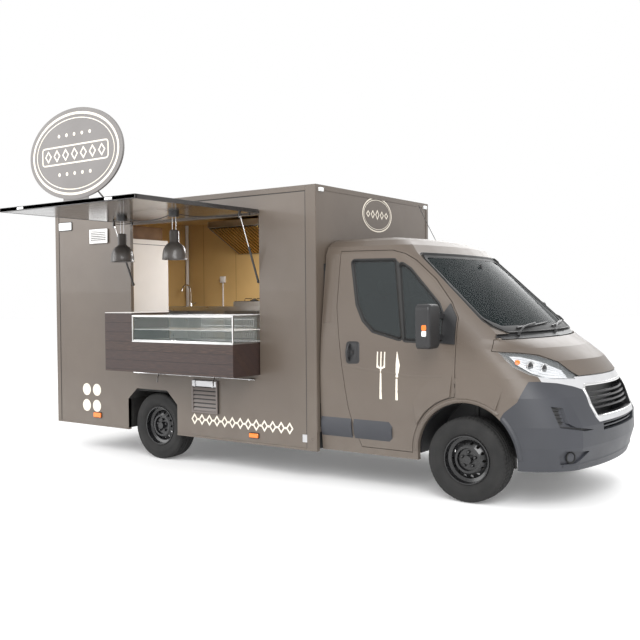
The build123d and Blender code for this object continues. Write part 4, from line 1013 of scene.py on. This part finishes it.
# Hatch: edge profile, catches and the two lamps
def hatch_fittings():
    low, high = span("hatch")
    wide, hinge_gap = 0.030, 0.03
    bm = bmesh.new()
    for x0, x1, y1 in ((low.x, high.x, low.y + wide), (low.x, low.x + wide, high.y - hinge_gap),
                       (high.x - wide, high.x, high.y - hinge_gap)):
        slab(bm, (x0, low.y, high.z - 0.033), (x1, y1, high.z + 0.002), 0.003)
    made("hatch_profile", bm, "black_plastic", "hatch")
    bm = bmesh.new()
    for x in (low.x + 0.30, high.x - 0.30):
        slab(bm, (x - 0.045, low.y - 0.006, high.z - 0.028), (x + 0.045, low.y + 0.004, high.z - 0.006),
             0.003)
        slab(bm, (x - 0.015, low.y - 0.009, high.z - 0.024), (x + 0.015, low.y - 0.002, high.z - 0.010),
             0.002)
    made("hatch_catches", bm, "chrome", "hatch")


def hatch_lamp_pieces():
    """Each lamp hangs from a cap by two rods: a tube with a domed bell under it, and a bulb inside."""
    low, high = span("hatch_lamps")
    lamp_y, top = (low.y + high.y) / 2, high.z
    shade = [
        # distance below the hatch, radius
        (0.160, 0.004), (0.161, 0.030), (0.167, 0.040), (0.176, 0.043), (0.268, 0.043), (0.278, 0.050),
        (0.290, 0.068), (0.308, 0.084), (0.332, 0.097), (0.362, 0.105), (0.395, 0.109), (0.424, 0.111),
        (0.428, 0.113), (0.430, 0.111), (0.424, 0.107), (0.395, 0.105), (0.364, 0.101), (0.336, 0.093),
        (0.313, 0.080), (0.296, 0.064), (0.286, 0.046), (0.282, 0.020), (0.282, 0.004),
    ]
    cap = [(0, 0.049), (0.030, 0.049), (0.040, 0.044), (0.041, 0.010)]
    bulb = [(0.280, 0.014), (0.296, 0.016), (0.315, 0.030), (0.338, 0.036), (0.360, 0.030), (0.372, 0.012)]
    caps, shades, rods, bulbs = [bmesh.new() for _ in range(4)]
    for x in (low.x + 0.148, high.x - 0.148):
        for bm, profile, around in ((caps, cap, 40), (shades, shade, 64), (bulbs, bulb, 32)):
            lathe(bm, profile, at(x, lamp_y, top), down, around)
        for shift in (-0.022, 0.022):
            tube(rods, [(x + shift, lamp_y, top - 0.036), (x + shift, lamp_y, top - 0.170)], 0.0035, 10)
    lamp = made("lamp_shades", shades, "lamp_grey", "hatch")
    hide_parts("hatch_lamps")
    made("lamp_caps", caps, "black_plastic", "hatch")
    made("lamp_rods", rods, "silver", "hatch")
    made("lamp_bulbs", bulbs, "white_lens", "hatch")


# Counter: the locker's top, the case's rails and panes, its wire rack and the rail with pegs below
def counter_fittings():
    low, high = span("counter")
    case_low, case_high = span("display_frame")
    locker_end, front, ledge, lid = case_low.x, case_low.y, case_low.z, case_high.z
    bm = bmesh.new()
    slab(bm, (low.x, low.y, high.z - 0.001), (locker_end, high.y, high.z + 0.006), 0.002)
    made("locker_top", bm, "white_panel", "counter")
    bm = bmesh.new()
    slab(bm, (locker_end, low.y - 0.001, ledge - 0.003), (high.x, low.y + 0.012, ledge + 0.002), 0.001)
    for z in (ledge + 0.012, lid - 0.020):
        slab(bm, (locker_end + 0.02, front + 0.002, z), (high.x - 0.02, front + 0.010, z + 0.008), 0.002)
    for x in (locker_end + 0.55, locker_end + 0.59):
        slab(bm, (x - 0.012, front - 0.001, ledge + 0.004), (x + 0.012, front + 0.004, ledge + 0.026), 0.002)
    made("case_rails", bm, "steel", "counter")
    bm = bmesh.new()
    slab(bm, (locker_end + 0.014, front + 0.014, lid - 0.009),
         (high.x - 0.014, case_high.y - 0.014, lid - 0.004), 0.001, 1)
    slab(bm, (high.x - 0.009, front + 0.014, ledge + 0.013), (high.x - 0.004, -1.066, lid - 0.013), 0.001, 1)
    made("case_panes", bm, "case_glass", "counter")
    bm = bmesh.new()
    rack_from, rack_to, back, wires = locker_end + 0.62, high.x - 0.03, -1.085, 26
    for z in (1.27, 1.33, 1.39, 1.45):
        tube(bm, [(rack_from, back, z), (rack_to, back, z)], 0.0022, 6)
    for x in [rack_from + (rack_to - rack_from) * i / wires for i in range(wires + 1)]:
        tube(bm, [(x, back, 1.25), (x, back, 1.47)], 0.0016, 6)
    made("wire_rack", bm, "chrome", "counter")
    bm = bmesh.new()
    z, y = 0.890, -box_half - 0.034
    tube(bm, [(low.x + 0.05, y, z), (high.x - 0.02, y, z)], 0.006, 10)
    for x in (low.x + 0.12, (low.x + high.x) / 2, high.x - 0.09):
        slab(bm, (x - 0.012, y - 0.003, z - 0.009), (x + 0.012, -box_half + 0.001, z + 0.009), 0.002)
    for x in (low.x + 0.42, high.x - 0.52):
        peg = [(x, y, z), (x + 0.012, y - 0.03, z - 0.035), (x + 0.02, y - 0.045, z - 0.080)]
        tube(bm, smooth_line(peg, 4), 0.006, 10)
    made("peg_rail", bm, "chrome")


# Inside the kitchen
def fridge_fittings():
    low, high = span("fridge")
    skin, seam_low, seam_high = 0.0015, high.z - 0.056, high.z - 0.050
    bm = bmesh.new()
    slab(bm, (low.x + 0.01, low.y + 0.01, high.z + 0.001), (high.x - 0.06, high.y - 0.02, high.z + 0.150),
         0.006)
    made("box_on_fridge", bm, "box_brown")
    bm = bmesh.new()
    slab(bm, (low.x, high.y - 0.001, seam_low), (high.x + 0.001, high.y + skin, seam_high), 0, 1)
    slab(bm, (high.x - 0.001, low.y, seam_low), (high.x + skin, high.y, seam_high), 0, 1)
    slab(bm, (high.x, low.y + 0.06, 1.20), (high.x + 0.025, low.y + 0.085, 1.65), 0.006)
    made("fridge_lines", bm, "dark_plastic")


def wall_electrics():
    """A conduit in the rear corner, and a socket on the left wall with its own."""
    x, z, corner, half = -4.320, 1.891, inner_rear + 0.028, 0.042
    bm = bmesh.new()
    tube(bm, [(corner, inner_side - 0.03, 1.55), (corner, inner_side - 0.03, roof_z - 0.002)], 0.022, 14)
    slab(bm, (x - half, inner_side - 0.028, z - 0.040), (x + half, inner_side + 0.001, z + 0.040), 0.006)
    slab(bm, (x - 0.032, inner_side - 0.033, z - 0.030), (x + 0.032, inner_side - 0.026, z + 0.030), 0.003)
    tube(bm, [(x, inner_side - 0.012, 1.86), (x, inner_side - 0.012, 1.55)], 0.009, 10)
    made("wall_electrics", bm, "white_panel")


def hood_fittings():
    low, high = span("range_hood")
    edge_y, edge_z, wall_y, wall_z = low.y, high.z - 0.070, inner_side, high.z - 0.370
    slope = Vector((0, wall_y - edge_y, wall_z - edge_z))
    out = Vector((0, slope.z, -slope.y)).normalized()

    def on_slope(x, share, lift):
        return at(x, edge_y, edge_z) + slope * share + out * lift

    bm, slats = bmesh.new(), bmesh.new()
    ends = [(edge_y, high.z), (edge_y, edge_z), (wall_y - 0.002, wall_z), (wall_y - 0.002, high.z)]
    for x, outward in ((low.x, -1), (high.x, 1)):
        plate(bm, ends, end_wall(x, outward), 0.002)
    x0, x1 = low.x + 0.01, high.x - 0.01
    plate(bm, [(x0, 0.02), (x1, 0.02), (x1, 0.98), (x0, 0.98)], on_slope, 0.003)
    made("hood_ends", bm, "hob_black")
    count, margin, wide = 30, 0.04, 0.028
    for i in range(count):
        x = low.x + margin + i * (high.x - low.x - 2 * margin) / count
        outline = [(x, 0.05), (x + wide, 0.05), (x + wide, 0.95), (x, 0.95)]
        plate(slats, outline, on_slope, 0.008, 0.003)
    made("hood_slats", slats, "brass")


def hob():
    low, high = span("cooker")
    bm = bmesh.new()
    slab(bm, (low.x + 0.01, low.y + 0.01, high.z), (high.x - 0.01, high.y - 0.01, high.z + 0.006), 0.002)
    burner = [(0, 0.050), (0.014, 0.050), (0.016, 0.030), (0.022, 0.028), (0.024, 0.002)]
    shares = (0.27, 0.73)
    for x in [low.x + (high.x - low.x) * share for share in shares]:
        for y in [low.y + (high.y - low.y) * share for share in shares]:
            lathe(bm, burner, at(x, y, high.z + 0.005), up, 24)
            for angle in (45, 135, 225, 315):
                a, b = math.cos(math.radians(angle)), math.sin(math.radians(angle))
                tube(bm, [(x + a * reach, y + b * reach, high.z + rise)
                          for reach, rise in ((0.03, 0.034), (0.11, 0.034), (0.115, 0.004))], 0.005, 6)
    made("hob", bm, "hob_black")


def worktop_fittings():
    low, high = span("worktop")
    x, y, top = -4.790, 0.900, high.z
    bm = bmesh.new()
    lathe(bm, [(0, 0.026), (0.010, 0.024), (0.040, 0.016), (0.042, 0.010)], at(x, y, top), up, 20)
    neck = [(x, y, top + 0.03), (x, y, top + 0.20), (x, y - 0.05, top + 0.27), (x, y - 0.13, top + 0.26),
            (x, y - 0.17, top + 0.19)]
    tube(bm, smooth_line(neck, 6), 0.011, 12)
    tube(bm, [(x + 0.03, y, top + 0.03), (x + 0.09, y, top + 0.05)], 0.007, 8)
    rim, rim_wide = rectangle(x - 0.13, y - 0.42, x + 0.32, y - 0.06, 0.05), 0.018
    ring(bm, rim, rim_wide, level_top(top), 0.004)
    made("sink_and_tap", bm, "chrome")
    bm = bmesh.new()
    plate(bm, grown(rim, -rim_wide), level_top(top), 0.001)
    made("sink_bowl", bm, "dark_plastic")
    bm = bmesh.new()
    slab(bm, (inner_rear + 0.3, low.y - 0.006, 1.500), (inner_front - 0.1, low.y + 0.001, 1.552), 0.002)
    made("worktop_edge", bm, "steel")


# Sign: rings and lozenges on both faces of the plain board
def sign_pattern():
    low, high = span("roof_sign")
    half_x, half_z, thick = 0.780, 0.500, 0.024
    middle_x, middle_z, face_y = (low.x + high.x) / 2, high.z - half_z, 0.038 - box_half
    paint_thick = 0.0015
    bm = bmesh.new()
    for side, y in ((right, face_y), (left, face_y + thick)):
        def place(x, z, lift):
            return at(middle_x + x, y + side * lift, middle_z + z)
        ring(bm, oval(0, 0, half_x * 0.93, half_z * 0.91, 96), 0.026, place, paint_thick)
        ring(bm, oval(0, 0, half_x * 0.84, half_z * 0.79, 96), 0.010, place, paint_thick)
        ring(bm, rectangle(-0.56, -0.105, 0.56, 0.105, 0.05), 0.016, place, paint_thick)
        for i in range(-3, 4):
            ring(bm, lozenge(i * 0.15, 0, 0.058, 0.070), 0.016, place, paint_thick)
        for z in (-0.215, 0.215):
            for i in range(-2, 3):
                plate(bm, oval(i * 0.13, z, 0.020, 0.020, 20), place, paint_thick)
    made("sign_pattern", bm, "cream")


# Seats: crowned cushions over plain bases
def cushion(name, centre, half, lean=0.0, channels=(0.5,)):
    """A closed cushion: its faces swell, its sides pull in between the corners and channels run up it."""
    power, pull, channel_wide = 5, 0.035, 0.035
    turned = Matrix.Rotation(lean, 3, "Y")
    bm = bmesh.new()
    bmesh.ops.create_cube(bm, size=2)
    bmesh.ops.subdivide_edges(bm, edges=list(bm.edges), cuts=13, use_grid_fill=True)
    for v in bm.verts:
        u, w, t = v.co / sum(abs(c) ** power for c in v.co) ** (1 / power)
        u, w = u * (1 - pull * (1 - w * w)), w * (1 - pull * (1 - u * u))
        groove = sum(math.exp(-((abs(w) - c) / channel_wide) ** 2) for c in channels)
        t = t * (0.86 + 0.14 * (1 - u ** 2) * (1 - w ** 2)) - 0.10 * groove * max(t, 0)
        v.co = at(*centre) + turned @ Vector((u * half[0], w * half[1], t * half[2]))
    piece = made(name, bm, "seat_fabric", smooth=60, level=1)
    return piece


def seat_pieces():
    bm = bmesh.new()
    stands_in = []
    lean = -math.atan2(0.105, 0.62)
    for row, (y, wide, places) in enumerate(((0.430, 0.500, 1), (-0.380, 0.860, 2))):
        slab(bm, (-1.150, y - wide / 2 + 0.04, 0.610), (-0.700, y + wide / 2 - 0.04, 0.903), 0.02, 3)
        half = wide / 2 - 0.008
        stands_in.append(cushion(f"seat_cushion_{row}", (-0.930, y, 0.975), (0.262, half, 0.072)))
        stands_in.append(cushion(f"seat_back_{row}", (-1.150, y, 1.330), (0.058, half, 0.315), lean, ()))
        for i in range(places):
            spot = y + (i - (places - 1) / 2) * wide / places
            stands_in.append(cushion(f"headrest_{row}_{i}", (-1.212, spot, 1.742), (0.042, 0.122, 0.082),
                                     lean, ()))
            for shift in (-0.05, 0.05):
                tube(bm, [(-1.195, spot + shift, 1.60), (-1.208, spot + shift, 1.69)], 0.006, 8)
    bases = made("seat_bases", bm, "black_plastic")
    for piece in (bases, *stands_in):
        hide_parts("seats")


for build in (box_trim, markers, box_pattern, rear_fittings, arch_liners, cab_seal, vent_flap, cab_sides,
              door_pattern, screen_trim, bumper_trim, grille_trim, headlamp_insides, cab_extras, mirrors,
              hatch_fittings, hatch_lamp_pieces, counter_fittings, fridge_fittings, wall_electrics,
              hood_fittings, hob, worktop_fittings, sign_pattern, seat_pieces):
    build()


# Floor, light and world
bm = bmesh.new()
bmesh.ops.create_grid(bm, x_segments=1, y_segments=1, size=60)
floor = bpy.data.objects.new("floor", bpy.data.meshes.new("floor"))
bm.to_mesh(floor.data)
bm.free()
floor.location = (0, 0, -0.001)
bpy.context.scene.collection.objects.link(floor)
floor_inputs = looks["floor"].node_tree.nodes["Principled BSDF"].inputs
floor_inputs["Emission Color"].default_value = (1, 1, 1, 1)
floor_inputs["Emission Strength"].default_value = 0.14
floor.data.materials.append(looks["floor"])

world = bpy.data.worlds.new("studio")
world.use_nodes = True
world.node_tree.nodes["Background"].inputs["Color"].default_value = (1, 1, 1, 1)
world.node_tree.nodes["Background"].inputs["Strength"].default_value = 1.0
bpy.context.scene.world = world

lights = [
    # name, place, aimed at, size, power
    ("key", (5, -9, 7.5), (-1.5, -1, 1.2), 7, 1100),
    ("fill", (-9, -7, 5), (-3, -1, 1.2), 7, 500),
    ("back", (-2, 9, 7), (-2, 0, 1.5), 8, 700),
    ("kitchen", (-2.9, 0.1, 2.5), (-2.9, 0.1, 0), 0.9, 42),
]
for name, place, target, size, power in lights:
    lamp = bpy.data.lights.new(name, "AREA")
    lamp.size = size
    lamp.energy = power
    lamp_object = bpy.data.objects.new(name, lamp)
    lamp_object.location = at(*place)
    lamp_object.rotation_euler = (at(*target) - at(*place)).to_track_quat("-Z", "Y").to_euler()
    bpy.context.scene.collection.objects.link(lamp_object)
bpy.context.scene.view_settings.view_transform = "Standard"
